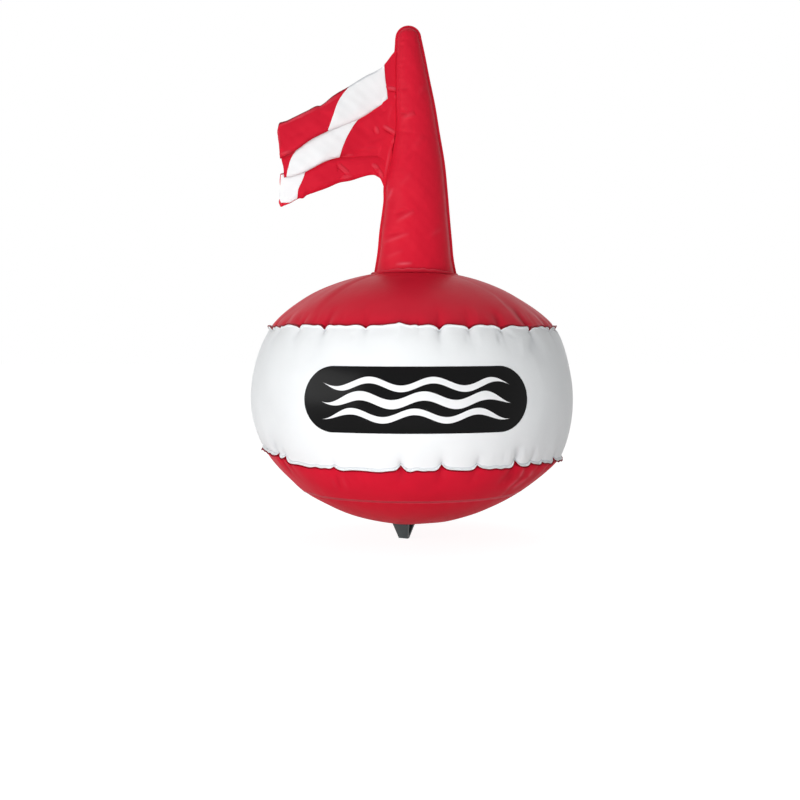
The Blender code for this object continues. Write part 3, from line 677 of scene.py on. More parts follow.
def soften(bm, width):
    """Round a solid's sharp edges."""
    bm.normal_update()
    sharp = [edge for edge in bm.edges if len(edge.link_faces) == 2 and edge.calc_face_angle() > SHARP_ANGLE]
    bmesh.ops.bevel(
        bm, geom=sharp, offset=width, offset_type="OFFSET", segments=3, profile=0.5,
        affect="EDGES", material=-1, clamp_overlap=True,
    )


def outline_of(inner, outer, foot, top):
    """The outline of a round wall, for turned."""
    return [(inner, foot), (outer, foot), (outer, top), (inner, top)]


def strap_bar(start, end, thickness, height, frame, soft=VALVE_SOFT_EDGE):
    """A bar of the strap's width along a frame's X."""
    bm = bmesh.new()
    bmesh.ops.create_cube(bm, size=1)
    bmesh.ops.scale(bm, verts=bm.verts, vec=(end - start, STRAP_WIDTH, thickness))
    bmesh.ops.translate(bm, verts=bm.verts, vec=((start + end) / 2, 0, height))
    soften(bm, soft)
    bmesh.ops.transform(bm, matrix=frame, verts=bm.verts)
    return bm


def together(*parts):
    """Several closed meshes as one."""
    whole = bmesh.new()
    for part in parts:
        mesh = bpy.data.meshes.new("joined")
        part.to_mesh(mesh)
        part.free()
        whole.from_mesh(mesh)
        bpy.data.meshes.remove(mesh)
    return whole


# Finishes


class Value:
    """A number or colour in a finish, with the sums that its nodes can do."""

    def __init__(self, finish, socket):
        self.finish = finish
        self.socket = socket

    def maths(self, operation, *others):
        given = dict(enumerate((self, *others)))
        return self.finish.node("ShaderNodeMath", {"operation": operation}, given)

    def __add__(self, other):
        return self.maths("ADD", other)

    __radd__ = __add__

    def __mul__(self, other):
        return self.maths("MULTIPLY", other)

    __rmul__ = __mul__

    def __sub__(self, other):
        return self.maths("SUBTRACT", other)

    def sine(self):
        return self.maths("SINE")

    def size(self):
        return self.maths("ABSOLUTE")

    def rising(self, start, end, low=0, high=1):
        """low before start, high after end, and a smooth rise between them."""
        return self.finish.node(
            "ShaderNodeMapRange", {"interpolation_type": "SMOOTHSTEP"},
            {"Value": self, "From Min": start, "From Max": end, "To Min": low, "To Max": high},
        )


class Nodes:
    """A tree of nodes."""

    def __init__(self, tree):
        self.tree = tree

    def node(self, kind, settings, given, result=0):
        made = self.tree.nodes.new(kind)
        for name, value in settings.items():
            setattr(made, name, value)
        for name, value in given.items():
            if isinstance(value, Value):
                self.tree.links.new(value.socket, made.inputs[name])
            else:
                made.inputs[name].default_value = value
        return Value(self, made.outputs[result])

    def in_sight(self):
        """1 for what the camera sees, directly, in a reflection or through something clear."""
        path = self.tree.nodes.new("ShaderNodeLightPath")
        ways = ("Camera", "Glossy", "Transmission")
        direct, glossy, clear = (Value(self, path.outputs[f"Is {way} Ray"]) for way in ways)
        return direct.maths("MAXIMUM", glossy).maths("MAXIMUM", clear)


class Finish(Nodes):
    """A material, made node by node."""

    def __init__(self, name, roughness, specular=0.5, **fixed):
        self.material = bpy.data.materials.new(name)
        self.material.use_nodes = True
        super().__init__(self.material.node_tree)
        self.shader = self.tree.nodes["Principled BSDF"]
        self.output = self.tree.nodes["Material Output"]
        self.shader.inputs["Roughness"].default_value = roughness
        self.shader.inputs["Specular IOR Level"].default_value = specular
        for socket, value in fixed.items():
            self.shader.inputs[socket.replace("_", " ")].default_value = value
        self.place = self.node("ShaderNodeTexCoord", {}, {}, "Object")

    def noise(self, scale, detail, roughness):
        given = {"Vector": self.place, "Scale": scale, "Detail": detail, "Roughness": roughness}
        return self.node("ShaderNodeTexNoise", {}, given, "Fac")

    def layer(self, name):
        """A number stored on the piece's own mesh."""
        return self.node("ShaderNodeAttribute", {"attribute_name": name}, {}, "Fac")

    def mixed(self, share, first, second):
        """The first colour at a share of 0, the second at 1."""
        return self.node("ShaderNodeMix", {"data_type": "RGBA"}, {0: share, 6: first, 7: second}, 2)

    def feed(self, socket, value):
        self.tree.links.new(value.socket, self.shader.inputs[socket])

    def complete(self, colour, roughness, height, strength, distance):
        """Feed the shader its colour, roughness and bump, and give the material."""
        given = {"Height": height, "Strength": strength, "Distance": distance}
        self.feed("Base Color", colour)
        self.feed("Roughness", roughness)
        self.feed("Normal", self.node("ShaderNodeBump", {}, given))
        return self.material


def film_finish(name, colour, folded, rubbed_and_highlight, roughness, specular, clouds, depth):
    """Soft welded film: cloudy colour, painted shade in the folds, paler where it is rubbed, painted
    highlights on ridges and seams, satin gloss.
    """
    finish = Finish(name, roughness, specular)
    cloud, grain = finish.noise(*CLOUDS), finish.noise(*GRAIN)
    rubbed = finish.noise(*RUBS).rising(0.62, 0.78) * finish.noise(*RUBBED_PATCHES).rising(0.45, 0.7)
    base = finish.mixed(cloud.rising(0.3, 0.75, 0, clouds * 0.22), colour, folded)
    # Painted shade: the fold layer darkens the colour toward the folded colour in creases, notches, grooves
    # and hollows
    base = finish.mixed(finish.layer("fold").rising(0.05, 1, 0, depth), base, folded)
    # Painted highlight: the shine layer pales the colour, along with real rubbed patches
    base = finish.mixed(rubbed * 0.10 + 0.45 * finish.layer("shine"), base, rubbed_and_highlight)
    rough = roughness + 0.10 * (cloud - 0.5) + 0.05 * (grain - 0.5) + 0.08 * rubbed
    height = grain * 0.10 + finish.noise(*DIMPLES) * 0.30 + finish.noise(*SWELLS) * 0.9
    return finish.complete(base, rough, height, strength=0.35, distance=0.0012)


def label_finish():
    """Glossy black print with three plain white wave bands."""
    finish = Finish("label_print", roughness=0.22, specular=0.11)
    along, rise = finish.layer("along"), finish.layer("rise")
    mask = 0
    for offset, lean, half_width in WAVE_BANDS:
        crest = (along * (math.tau / WAVE_LENGTH) + lean).sine() * WAVE_HEIGHT + offset
        thin = along.size().rising(*WAVE_TAPER, half_width, -WAVE_EDGE)
        edge = (rise - crest).size() - thin
        mask = mask + edge.rising(-WAVE_EDGE, WAVE_EDGE, 1, 0)
    print_share = mask.rising(0, 1)
    base = finish.mixed(print_share, BLACK, PRINT_WHITE)
    rough = 0.20 + 0.12 * (finish.noise(*SMUDGES) - 0.4) + 0.08 * print_share
    return finish.complete(base, rough, finish.noise(*PRINT_GRAIN), strength=0.08, distance=0.0004)


def lug_finish():
    """Moulded black plastic with a fine grain, greyer where the line rubs it."""
    finish = Finish("lug_plastic", roughness=0.36)
    grain, wear = finish.noise(*LUG_GRAIN), finish.noise(*LUG_WEAR).rising(0.48, 0.7)
    base = finish.mixed(wear * 0.45, LUG_DARK, LUG_WORN)
    rough = 0.34 + 0.10 * wear + 0.06 * (grain - 0.5)
    return finish.complete(base, rough, grain * 0.5 + wear * 0.3, strength=0.25, distance=0.0003)


def valve_finish():
    """Soft clear-grey plastic, cloudy inside."""
    finish = Finish("valve_soft", roughness=0.38, Subsurface_Weight=0.15, Subsurface_Scale=0.004)
    cloud, grain = finish.noise(*SOFT_CLOUDS), finish.noise(*SOFT_GRAIN)
    base = finish.mixed(cloud.rising(0.3, 0.7), SOFT_GREY, SOFT_CLOUD)
    rough = 0.34 + 0.12 * (cloud - 0.4) + 0.05 * (grain - 0.5)
    return finish.complete(base, rough, grain * 0.3 + cloud * 0.5, strength=0.2, distance=0.0003)


# Hull outlines, in the plane of radius and height


def belt_radius(height, wall=0.0):
    return (HULL_RADIUS - wall) * np.sqrt(1 - (height / (BELT_CURVE_HEIGHT - wall)) ** 2)


def dome_reach():
    """The radius that the dome's ellipse would have at the widest ring."""
    return float(belt_radius(UPPER_SEAM_HEIGHT)) / math.sqrt(1 - (UPPER_SEAM_HEIGHT / DOME_HEIGHT) ** 2)


def dome_height(radius, wall=0.0):
    return (DOME_HEIGHT - wall) * np.sqrt(1 - (radius / (dome_reach() - wall)) ** 2)


def bowl_height(radius):
    rise = BOTTOM_DEPTH - RING_SEAM_DEPTH
    return rise * (radius / RING_SEAM_RADIUS) ** BOWL_POWER - BOTTOM_DEPTH


def beside(line, distance):
    """The line at a distance to the left of a line, with mitred corners."""
    ways = np.diff(line, axis=0)
    ways /= np.hypot(*ways.T)[:, None]
    lefts = np.stack([-ways[:, 1], ways[:, 0]], axis=1)
    before, after = np.vstack([lefts[:1], lefts]), np.vstack([lefts, lefts[-1:]])
    middle = before + after
    middle /= np.hypot(*middle.T)[:, None]
    return line + middle * (distance / (middle * after).sum(axis=1))[:, None]


def read_along(line, places):
    along = np.concatenate([[0], np.cumsum(np.hypot(*np.diff(line, axis=0).T))])
    return np.stack([np.interp(places, along, line[:, k]) for k in (0, 1)], axis=1)


def length_of(line):
    return float(np.hypot(*np.diff(line, axis=0).T).sum())


def rounded(line):
    """A line with its corners rounded, at close steps."""
    total = length_of(line)
    dense = read_along(line, np.arange(0, total, DENSE_STEP))
    half = round(CORNER_REACH / DENSE_STEP / 2)
    padded = np.vstack([2 * dense[:1] - dense[half:0:-1], dense, 2 * dense[-1:] - dense[-2:-half - 2:-1]])
    kernel = np.hanning(2 * half + 3)[1:-1]
    kernel /= kernel.sum()
    return np.stack([np.convolve(padded[:, k], kernel, "valid") for k in (0, 1)], axis=1)


def row_places(total, start_seam=True, end_seam=True):
    """Distances along a panel's line, close together near its seams."""
    def steps(limit):
        found = [0.0]
        while found[-1] < limit:
            found.append(found[-1] + min(FINE_ROW + ROW_GROWTH * max(found[-1] - FINE_ZONE, 0), COARSE_ROW))
        return np.array(found) * limit / found[-1]

    if start_seam and end_seam:
        half = steps(total / 2)
        return np.concatenate([half, total - half[-2::-1]])
    return steps(total) if start_seam else total - steps(total)[::-1]


class Seam:
    """A welded ring of the hull: its fin, its line, and the puckers that draw the film in."""

    def __init__(self, height, tilt, dip, line, groove, puckers, seed):
        self.height = height
        self.radius = float(belt_radius(height))
        self.out = np.array((math.cos(tilt), math.sin(tilt)))
        self.dip = dip
        self.line = line
        self.groove = groove
        chance = random.Random(seed)
        self.puckers = [(math.radians(angle), strength, reach) for angle, strength, reach in puckers]
        first, last = puckers[0][0] + 360, puckers[-1][0]
        angle = last + chance.uniform(*PUCKER_START)
        while angle < first - PUCKER_CLEAR:
            strength, reach = chance.uniform(*PUCKER_STRENGTH), chance.uniform(*PUCKER_REACH)
            self.puckers.append((math.radians(angle), strength, reach))
            angle += chance.uniform(*PUCKER_STEP)

    def fin(self, side, reach=SEAM_FIN):
        """The tip and root of one layer of the fin, its upper one for side 1 and its lower for -1."""
        up = np.array((-self.out[1], self.out[0]))
        root = np.array((float(belt_radius(self.height, FILM)), self.height)) + up * (side * GAP / 2)
        return root + self.out * reach, root

    def move(self, phi, away, way, limit):
        """How the film moves at an angle and a distance from the weld, and the painted shade of its notches,
        valleys and weld line.
        """
        near = np.maximum(away, 0)
        notch = valley = wide = 0
        for angle, strength, reach in self.puckers:
            turn = np.abs(wrapped(phi - angle)) * self.radius
            notch = notch + strength * np.exp(-((turn / NOTCH_WIDTH) ** NOTCH_POWER))
            spread = bell(turn, VALLEY_WIDTH + VALLEY_SPREAD * near)
            valley = valley + strength * spread * np.exp(-near / reach)
            wide = wide + strength * bell(turn, SWELL_WIDTH)
        notch = np.minimum(notch, NOTCH_CAP)
        calm = 1 - eased(near, *limit)
        fade = np.exp(-near / NOTCH_REACH)
        inward = NOTCH_DEPTH * notch * fade + NOTCH_SHRINK * notch * np.maximum(-away, 0)
        ramp = near / (near + VALLEY_START)
        swell = SWELL * (1 - np.minimum(wide, 1)) * near / SWELL_REACH * np.exp(1 - near / SWELL_REACH)
        lift = (swell - VALLEY_DEPTH * valley * ramp) * calm
        line = through(self.line, np.degrees(wrapped(phi))) / 1000 * np.exp(-near / LINE_REACH)
        wobble = sum(uneven(phi, *paces) for paces in EDGE_PACES)
        rise = self.dip * NOTCH_DROP * notch * fade + line * calm + EDGE_WOBBLE * wobble * fade
        radial, upward = (way[k] * lift - self.out[k] * inward for k in (0, 1))
        # Painted shade in the notches and valleys, and along the weld's line
        fold = FOLD_SHADE * (notch * fade + valley * ramp * calm) + self.groove * bell(away, GROOVE_WIDTH)
        return radial, upward + rise, np.clip(fold, 0, 1)


UPPER_SEAM = Seam(
    UPPER_SEAM_HEIGHT, UPPER_FIN_TILT, -1, UPPER_LINE, groove=0.2, puckers=UPPER_PUCKERS, seed=3
)
LOWER_SEAM = Seam(
    -LOWER_SEAM_DEPTH, LOWER_FIN_TILT, 1, LOWER_LINE, groove=0.9, puckers=LOWER_PUCKERS, seed=8
)
SOFT_WAVES = waves(seed=5, count=9, shortest=0.03, longest=0.085)
FINE_WAVES = waves(seed=12, count=12, shortest=0.01, longest=0.034)


class HullPanel:
    """A ring of film: its outline, and how its seams move it at each angle."""

    def __init__(self, inside, start_seam=None, end_seam=None, dark_fin=False):
        self.line = rounded(beside(inside, FILM))
        self.total = length_of(self.line)
        self.start_seam = start_seam
        self.end_seam = end_seam
        self.dark_fin = dark_fin
        steps = np.gradient(self.line, axis=0)
        steps /= np.hypot(*steps.T)[:, None]
        self.ways = np.stack([-steps[:, 1], steps[:, 0]], axis=1)
        self.rows = row_places(self.total, start_seam is not None, end_seam is not None)

    def at(self, phi, along):
        """Radius, height, painted shade (fold) and painted highlight (shine) of the film at angles and
        distances along the outline.
        """
        where = along / self.total * (len(self.line) - 1)
        spots = np.arange(len(self.line))
        radius, height, *way = (np.interp(where, spots, path) for path in (*self.line.T, *self.ways.T))
        clear = 1 - eased(np.abs(wrapped(phi - LABEL_TURN)), LABEL_CLEAR, LABEL_CLEAR + LABEL_FADE)
        limit = [far + (near - far) * clear for near, far in zip(CALM_AT_LABEL, CALM_ELSEWHERE)]
        fold, edge = 0, 1
        for seam, inset in ((self.start_seam, along), (self.end_seam, self.total - along)):
            if seam:
                away = inset - SEAM_FIN
                out, up, tint = seam.move(phi, away, way, limit)
                # Painted shade: a dark line along a red fin's edge
                tint = np.maximum(tint, self.dark_fin * (1 - eased(away, *DARK_LINE)))
                radius, height, fold = radius + out, height + up, np.maximum(fold, tint)
                edge = edge * eased(away, *EDGE_CALM)
        east, south = HULL_RADIUS * np.sin(phi), HULL_RADIUS * np.cos(phi)
        soft = rippled(SOFT_WAVES, east, height + SOFT_LEAN * south)
        soft = soft * SOFT_RIPPLE * (1 - LABEL_CALM * clear)
        x, y, z = round_the_axis(phi, radius, height).T
        lift, hollow, shine = creased(HULL_CREASES, x, y, z)
        off_valve = np.hypot(x - AXIS.x, np.hypot(y - VALVE_SPOT.y, z - VALVE_SPOT.z))
        soft = (soft + lift) * edge * eased(off_valve, VALVE_CALM, 2 * VALVE_CALM)
        # Painted shade in crease hollows; the creases' shine is painted highlight
        fold = np.clip(fold + HOLLOW_SHADE * hollow * edge, 0, 1)
        shine = shine * edge
        # Painted highlight: a pale rim along the lower dome's edge at the ring seam
        if self.end_seam is None:
            shine = shine + bell(self.total - along, RING_LINE)
        return radius + way[0] * soft, height + way[1] * soft, fold, shine

    def place(self, across, down):
        phi = (across - 0.5) * math.tau
        along = self.rows[np.round(down * (len(self.rows) - 1)).astype(int)]
        radius, height, fold, shine = self.at(phi, along)
        return round_the_axis(phi, radius, height), fold, shine

    def made(self, name):
        return walled(film_grid(name, HULL_COLUMNS, len(self.rows) - 1, self.place, AXIS))


def round_the_axis(phi, radius, height):
    """Points at angles from the front, towards the viewer's right, at radii and heights."""
    return np.stack([AXIS.x + radius * np.sin(phi), AXIS.y - radius * np.cos(phi), AXIS.z + height], axis=1)


def valve_frame():
    """The valve's own axes: its origin on the inside of the dome's film, its Z out of the dome."""
    reach = float(belt_radius(UPPER_SEAM_HEIGHT)) - VALVE_INSET
    height = float(dome_height(reach, FILM))
    slope = Vector((0, reach / dome_reach() ** 2, height / DOME_HEIGHT**2)).normalized()
    turn = Vector((0, 0, 1)).rotation_difference(slope).to_matrix().to_4x4()
    return Matrix.Translation(AXIS + Vector((0, reach, height))) @ turn


def dome_panel():
    tip, root = UPPER_SEAM.fin(1, SEAM_FIN + RED_FIN_STEP)
    radii = np.linspace(MAST_PORT_RADIUS, root[0], OUTLINE_POINTS)[:-1]
    inside = np.vstack([np.stack([radii, dome_height(radii, FILM)], axis=1), root, tip])
    return HullPanel(inside, None, UPPER_SEAM, dark_fin=True)


def belt_panel():
    heights = np.linspace(UPPER_SEAM_HEIGHT, -LOWER_SEAM_DEPTH, OUTLINE_POINTS)[1:-1]
    skin = np.stack([belt_radius(heights, FILM), heights], axis=1)
    inside = np.vstack([*UPPER_SEAM.fin(-1), skin, *LOWER_SEAM.fin(1)[::-1]])
    return HullPanel(inside, UPPER_SEAM, LOWER_SEAM)


def disc_ring():
    """The ring seam's corner, the way up along the lower dome, and the way out of it."""
    root = LOWER_SEAM.fin(-1)[1]
    ring = np.array((RING_SEAM_RADIUS, -RING_SEAM_DEPTH))
    way = (root - ring) / np.hypot(*(root - ring))
    return ring, way, np.array((way[1], -way[0]))


def lower_panel():
    tip, root = LOWER_SEAM.fin(-1, SEAM_FIN + RED_FIN_STEP)
    ring, _, outward = disc_ring()
    run = ring + outward * GAP - root
    shares = np.linspace(0, 1, LOWER_POINTS)[:, None]
    left = np.array((-run[1], run[0])) / np.hypot(*run)
    arc = root + run * shares + left * (LOWER_DOME_CROWN * 4 * shares * (1 - shares))
    return HullPanel(np.vstack([tip, arc]), LOWER_SEAM, None, dark_fin=True)


def disc_place(across, down):
    """The bottom disc: a lap under the lower dome, the ring seam, and the bowl down to the lug's slot."""
    phi = (across - 0.5) * math.tau
    _, way, _ = disc_ring()
    lap = DISC_LAP * np.clip(1 - down / DISC_LAP_SHARE, 0, 1)
    inner = np.clip((down - DISC_LAP_SHARE) / (1 - DISC_LAP_SHARE), 0, 1)
    flat = RING_SEAM_RADIUS * (1 - inner)
    slot_x, slot_y = slot_edge(phi)
    x, y = flat * np.sin(phi) + slot_x * inner**3, -flat * np.cos(phi) + slot_y * inner**3
    height = bowl_height(np.hypot(x, y)) + way[1] * lap
    x = x + way[0] * lap * np.sin(phi)
    y = y - way[0] * lap * np.cos(phi)
    pleats = np.exp(-inner / PLEAT_REACH) * (inner > 0) * (0.5 + 0.5 * uneven(phi, *DISC_PACES))
    ripple = rippled(SOFT_WAVES, x, y) * DISC_RIPPLE * inner * (1 - inner) * 4
    away = inner * RING_SEAM_RADIUS
    bulge = (1 - np.exp(-away / DISC_BULGE_START)) * np.exp(-away / DISC_BULGE_REACH)
    z = AXIS.z + height + PLEAT_HEIGHT * pleats + ripple - DISC_BULGE * bulge
    # Painted highlight along the ring seam, and painted shade in the pleats
    shine = RING_SHINE + RING_RIGHT_SHINE * eased(np.sin(phi), *RING_RIGHT)
    shine = shine * bell(away - RING_LINE, RING_LINE)
    return np.stack([AXIS.x + x, AXIS.y + y, z], axis=1), PLEAT_SHADE * pleats, shine


def slot_edge(phi):
    """The edge of the lug's slot at angles from the front, from the hull's axis."""
    turn = phi - math.pi / 2 - LUG_TURN
    half_x, half_y = LUG_BASE_WIDTH / 2 + GAP / 2, LUG_BASE_DEPTH / 2 + GAP / 2
    across, along = np.cos(turn), np.sin(turn)
    reach = 1 / np.maximum(np.abs(across) / half_x, np.abs(along) / half_y)
    x, y = reach * across, reach * along
    cosine, sine = math.cos(LUG_TURN), math.sin(LUG_TURN)
    return x * cosine - y * sine - AXIS.x, x * sine + y * cosine - AXIS.y


def make_hull():
    dome = ported(dome_panel().made("upper_dome"), valve_frame(), STEM_RADIUS + GAP)
    dress(dome, "hull", "red_film", RED_FILM, "upper_dome_panel")
    belt = belt_panel()
    dress(belt.made("girth_band"), "hull", "white_film", WHITE_FILM, "girth_band_panel")
    dress(lower_panel().made("lower_dome"), "hull", "red_film", LOW_RED_FILM, "lower_dome_panel")
    above = Vector((AXIS.x, AXIS.y, AXIS.z + HULL_RADIUS))
    disc = walled(film_grid("bottom_disc", DISC_COLUMNS, DISC_ROWS, disc_place, above))
    dress(disc, "hull", "red_film", LOW_RED_FILM, "bottom_disc_panel")
    make_label(belt)


def make_label(belt):
    """A capsule of black film on the belt, which follows its folds."""
    cap = LABEL_HEIGHT / 2
    straight = LABEL_WIDTH / 2 - cap
    heights = belt.line[::-1, 1]
    along_belt = np.linspace(belt.total, 0, len(heights))

    def place(across, down):
        reach = (2 * across - 1) * LABEL_WIDTH / 2
        turn = np.clip(np.abs(reach) - straight, 0, cap) / cap * math.pi / 2
        arc = np.sign(reach) * (np.minimum(np.abs(reach), straight) + cap * np.sin(turn))
        rise = cap * np.cos(turn) * (2 * down - 1)
        along = np.interp(LABEL_RISE + rise, heights, along_belt)
        phi = arc / HULL_RADIUS + LABEL_TURN
        radius, height, *_ = belt.at(phi, along)
        return round_the_axis(phi, radius + LABEL_LIFT + LABEL_FILM, height), arc, rise

    label = film_grid("front_label_film", LABEL_COLUMNS, LABEL_ROWS, place, AXIS, layers=("along", "rise"))
    dress(walled(label, LABEL_FILM), "hull", "black_print", label_finish(), "front_label")


# Mast


def mast_rows():
    """Height over the floor, left weld, right weld and tip angle of each row of the mast."""
    _, tip_z = seen(*MAST_TIP_PX)
    foot = AXIS.z + MAST_FOOT_HEIGHT
    heights = np.linspace(foot, tip_z, MAST_BODY_ROWS + 1)
    rows = row_of(heights)
    left, _ = seen(through(MAST_WELD_PX, rows), 0)
    right, _ = seen(through(MAST_RIGHT_PX, rows), 0)
    angles = np.linspace(0, math.pi / 2, MAST_TIP_ROWS + 1)[1:]
    half = (MAST_TIP_RADIUS - MAST_FIN) * np.cos(angles)
    tip_heights = tip_z + (MAST_TIP_RADIUS - MAST_FIN) * np.sin(angles)
    middle = (left[-1] + right[-1] - MAST_FIN) / 2
    return (
        np.concatenate([heights, tip_heights]),
        np.concatenate([left, middle - half]),
        np.concatenate([right - MAST_FIN, middle + half]),
        np.concatenate([np.zeros(len(heights)), angles]),
    )


HINGE_TOP, HINGE_FOOT = (seen(*spot) for spot in HINGE_PX)


def hinge_x(height):
    """Where the flag's hinge is at a height."""
    (top_x, top_z), (foot_x, foot_z) = HINGE_TOP, HINGE_FOOT
    return foot_x + (top_x - foot_x) * (height - foot_z) / (top_z - foot_z)


def pinched(row, from_left, from_right):
    """How deep the short pinches across the mast's welds are, in mm."""
    depth = 0
    for table, distance in ((LEFT_PINCHES, from_left), (RIGHT_PINCHES, from_right)):
        for pixel_row, reach, deep in table:
            offset = (row - pixel_row) * METRES_A_PIXEL - PINCH_LEAN * distance
            depth = depth + deep * bell(offset, PINCH_WIDTH) * np.exp(-distance / reach)
    return depth


def mast_place(side):
    heights, lefts, rights, angles = mast_rows()
    top, foot = HINGE_TOP[1], HINGE_FOOT[1]

    def place(across, up):
        index = np.round(up * (len(heights) - 1)).astype(int)
        column = np.round(across * MAST_COLUMNS)
        height, left, right, angle = (table[index] for table in (heights, lefts, rights, angles))
        row = row_of(height)
        at_flag = eased(height, foot - HINGE_FADE, foot) * (1 - eased(height, top, top + HINGE_FADE))
        left_fin = MAST_FIN + (left - hinge_x(height) - FILM - GAP - MAST_FIN) * at_flag
        fin_left = np.clip(1 - column / FIN_COLUMNS, 0, 1)
        fin_right = np.clip((column - MAST_COLUMNS + FIN_COLUMNS) / FIN_COLUMNS, 0, 1)
        fin = np.maximum(fin_left, fin_right)
        turn = math.pi * np.clip((column - FIN_COLUMNS) / (MAST_COLUMNS - 2 * FIN_COLUMNS), 0, 1)
        half = (right - left) / 2
        x = left + half * (1 - np.cos(turn))
        from_left, from_right = x - left, right - x
        ramp = np.sin(turn) ** 0.5
        pinch = pinched(row, from_left, from_right) * ramp
        ripple = uneven(height, *MAST_PACES) + np.sin(height * MAST_PACE + side)
        weld = (np.exp(-from_left / WELD_REACH) + np.exp(-from_right / WELD_REACH)) * ramp
        depth = half * MAST_DEPTH_SHARE * np.sin(turn) - pinch / 1000 + WELD_RIPPLE * ripple * weld
        lift, hollow, shine = creased(MAST_CREASES, x, side * depth, height)
        wave = rippled(FINE_WAVES, x * MAST_STRETCH + side, height)
        depth = depth + (MAST_CREASE_GAIN * lift + MAST_RIPPLE * wave) * ramp
        x = x + (fin_right - fin_left * left_fin / MAST_FIN) * MAST_FIN * np.cos(angle)
        y = side * (np.maximum(depth, 0) + FILM)
        z = height + fin * MAST_FIN * np.sin(angle)
        drop = MAST_FOOT_HEIGHT - dome_height(np.hypot(x - AXIS.x, y)) - GAP
        z = z - drop * (1 - eased(height - heights[0], 0, FOOT_FADE))
        # Painted shade along the fins, in pinches and crease hollows; painted highlight on crease ridges and
        # beside the right weld
        groove = bell(fin - FIN_GROOVE, FIN_GROOVE_WIDTH) * (fin > 0)
        fold = PINCH_SHADE * pinch + MAST_HOLLOW_SHADE * hollow + groove + FIN_SHADE * fin
        glow = bell(from_right - WELD_GLOW, WELD_GLOW_WIDTH) * (angle == 0) * (fin == 0)
        glow = glow * (GLOW + FOOT_GLOW * eased(row, *GLOW_ROWS))
        shine = MAST_SHINE * shine + glow
        return np.stack([x, y, z], axis=1), np.clip(fold, 0, 1), np.clip(shine, 0, 1)

    return place


def far_behind(side):
    """A point far behind the films that face one side."""
    return Vector((AXIS.x, -side * FAR, AXIS.z))


def make_mast():
    rows = MAST_BODY_ROWS + MAST_TIP_ROWS
    for name, side in SIDES:
        shell = film_grid(f"mast_{name}", MAST_COLUMNS, rows, mast_place(side), far_behind(side))
        dress(walled(shell), "hull", "red_film", RED_FILM, f"mast_{name}_panel")
    collar = film_grid("mast_foot_ring", COLLAR_COLUMNS, COLLAR_ROWS, collar_place, AXIS)
    dress(walled(collar), "hull", "red_film", RED_FILM, "mast_foot_collar")


def collar_place(across, out):
    """The raised weld round the mast's foot, wider at the left and in front."""
    _, lefts, rights, _ = mast_rows()
    left, right = lefts[0] - MAST_FIN, rights[0] + MAST_FIN
    middle, half = (left + right) / 2, (right - left) / 2
    angle = math.tau * across
    at_left = bell(angle - math.pi, COLLAR_LEFT_WIDTH)
    in_front = bell(angle - math.pi * 1.5, COLLAR_FRONT_WIDTH)
    spread = 1 + COLLAR_LEFT_SPREAD * at_left + COLLAR_FRONT_SPREAD * in_front
    reach = GAP + out * COLLAR_WIDTH * spread
    x = middle + (half + reach) * np.cos(angle)
    y = (half * MAST_DEPTH_SHARE + reach) * np.sin(angle)
    rise = COLLAR_HEIGHT * (1 + COLLAR_FRONT_RISE * in_front) * through(COLLAR_PROFILE, out)
    pleats = 1 + sum(size * uneven(angle, *paces) for size, *paces in COLLAR_PACES)
    z = AXIS.z + dome_height(np.hypot(x - AXIS.x, y)) + GAP / 2
    z = z + rise * pleats + COLLAR_LEFT_RISE * at_left * out
    # Painted highlight on the ridge and painted shade toward the outer edge
    shine = bell(out - COLLAR_RIDGE, COLLAR_RIDGE_WIDTH) * (COLLAR_SHINE + COLLAR_FRONT_SHINE * in_front)
    return np.stack([x, y, z], axis=1), COLLAR_SHADE * eased(out, *COLLAR_SHADE_SHARE), shine


# Flag


def flag_rows():
    """For each row of the flag's grid: strip, share down it, upward tuck, and depth on each fold."""
    rows = []
    for strip in range(3):
        for k in range(STRIP_ROWS + 1):
            share = k / STRIP_ROWS
            forward = 1 - (1 - share) ** FOLD_POWER
            tuck = (1 - share) ** 3 if strip else 0
            depths = (
                (forward, 0), (TUCK_BACK * (1 - forward), forward), (0, TUCK_BACK + TUCK_DRIFT * forward)
            )
            rows.append((strip, share, tuck, *depths[strip]))
        if strip == 2:
            break
        for k in range(1, TUCK_ROWS):
            share = k / TUCK_ROWS
            turn = share * math.pi
            back = 1 - (1 - TUCK_BACK) * (1 - math.cos(turn)) / 2
            up = share + TUCK_SWELL * math.sin(turn)
            rows.append((strip, 1, up, *((0, back) if strip else (back, 0))))
    return np.array(rows)


FLAG_ROWS = flag_rows()


def strip_table(tables, strip, share):
    """Read one of three tables, one for each strip of the flag."""
    read = [through(table, share) for table in tables]
    return np.choose(strip.astype(int), read)


def hoist_column(strip, share):
    """The pixel column of the mast's weld at a share down a strip of the flag."""
    return through(MAST_WELD_PX, np.interp(strip + share, range(4), HOIST_ROWS_PX))


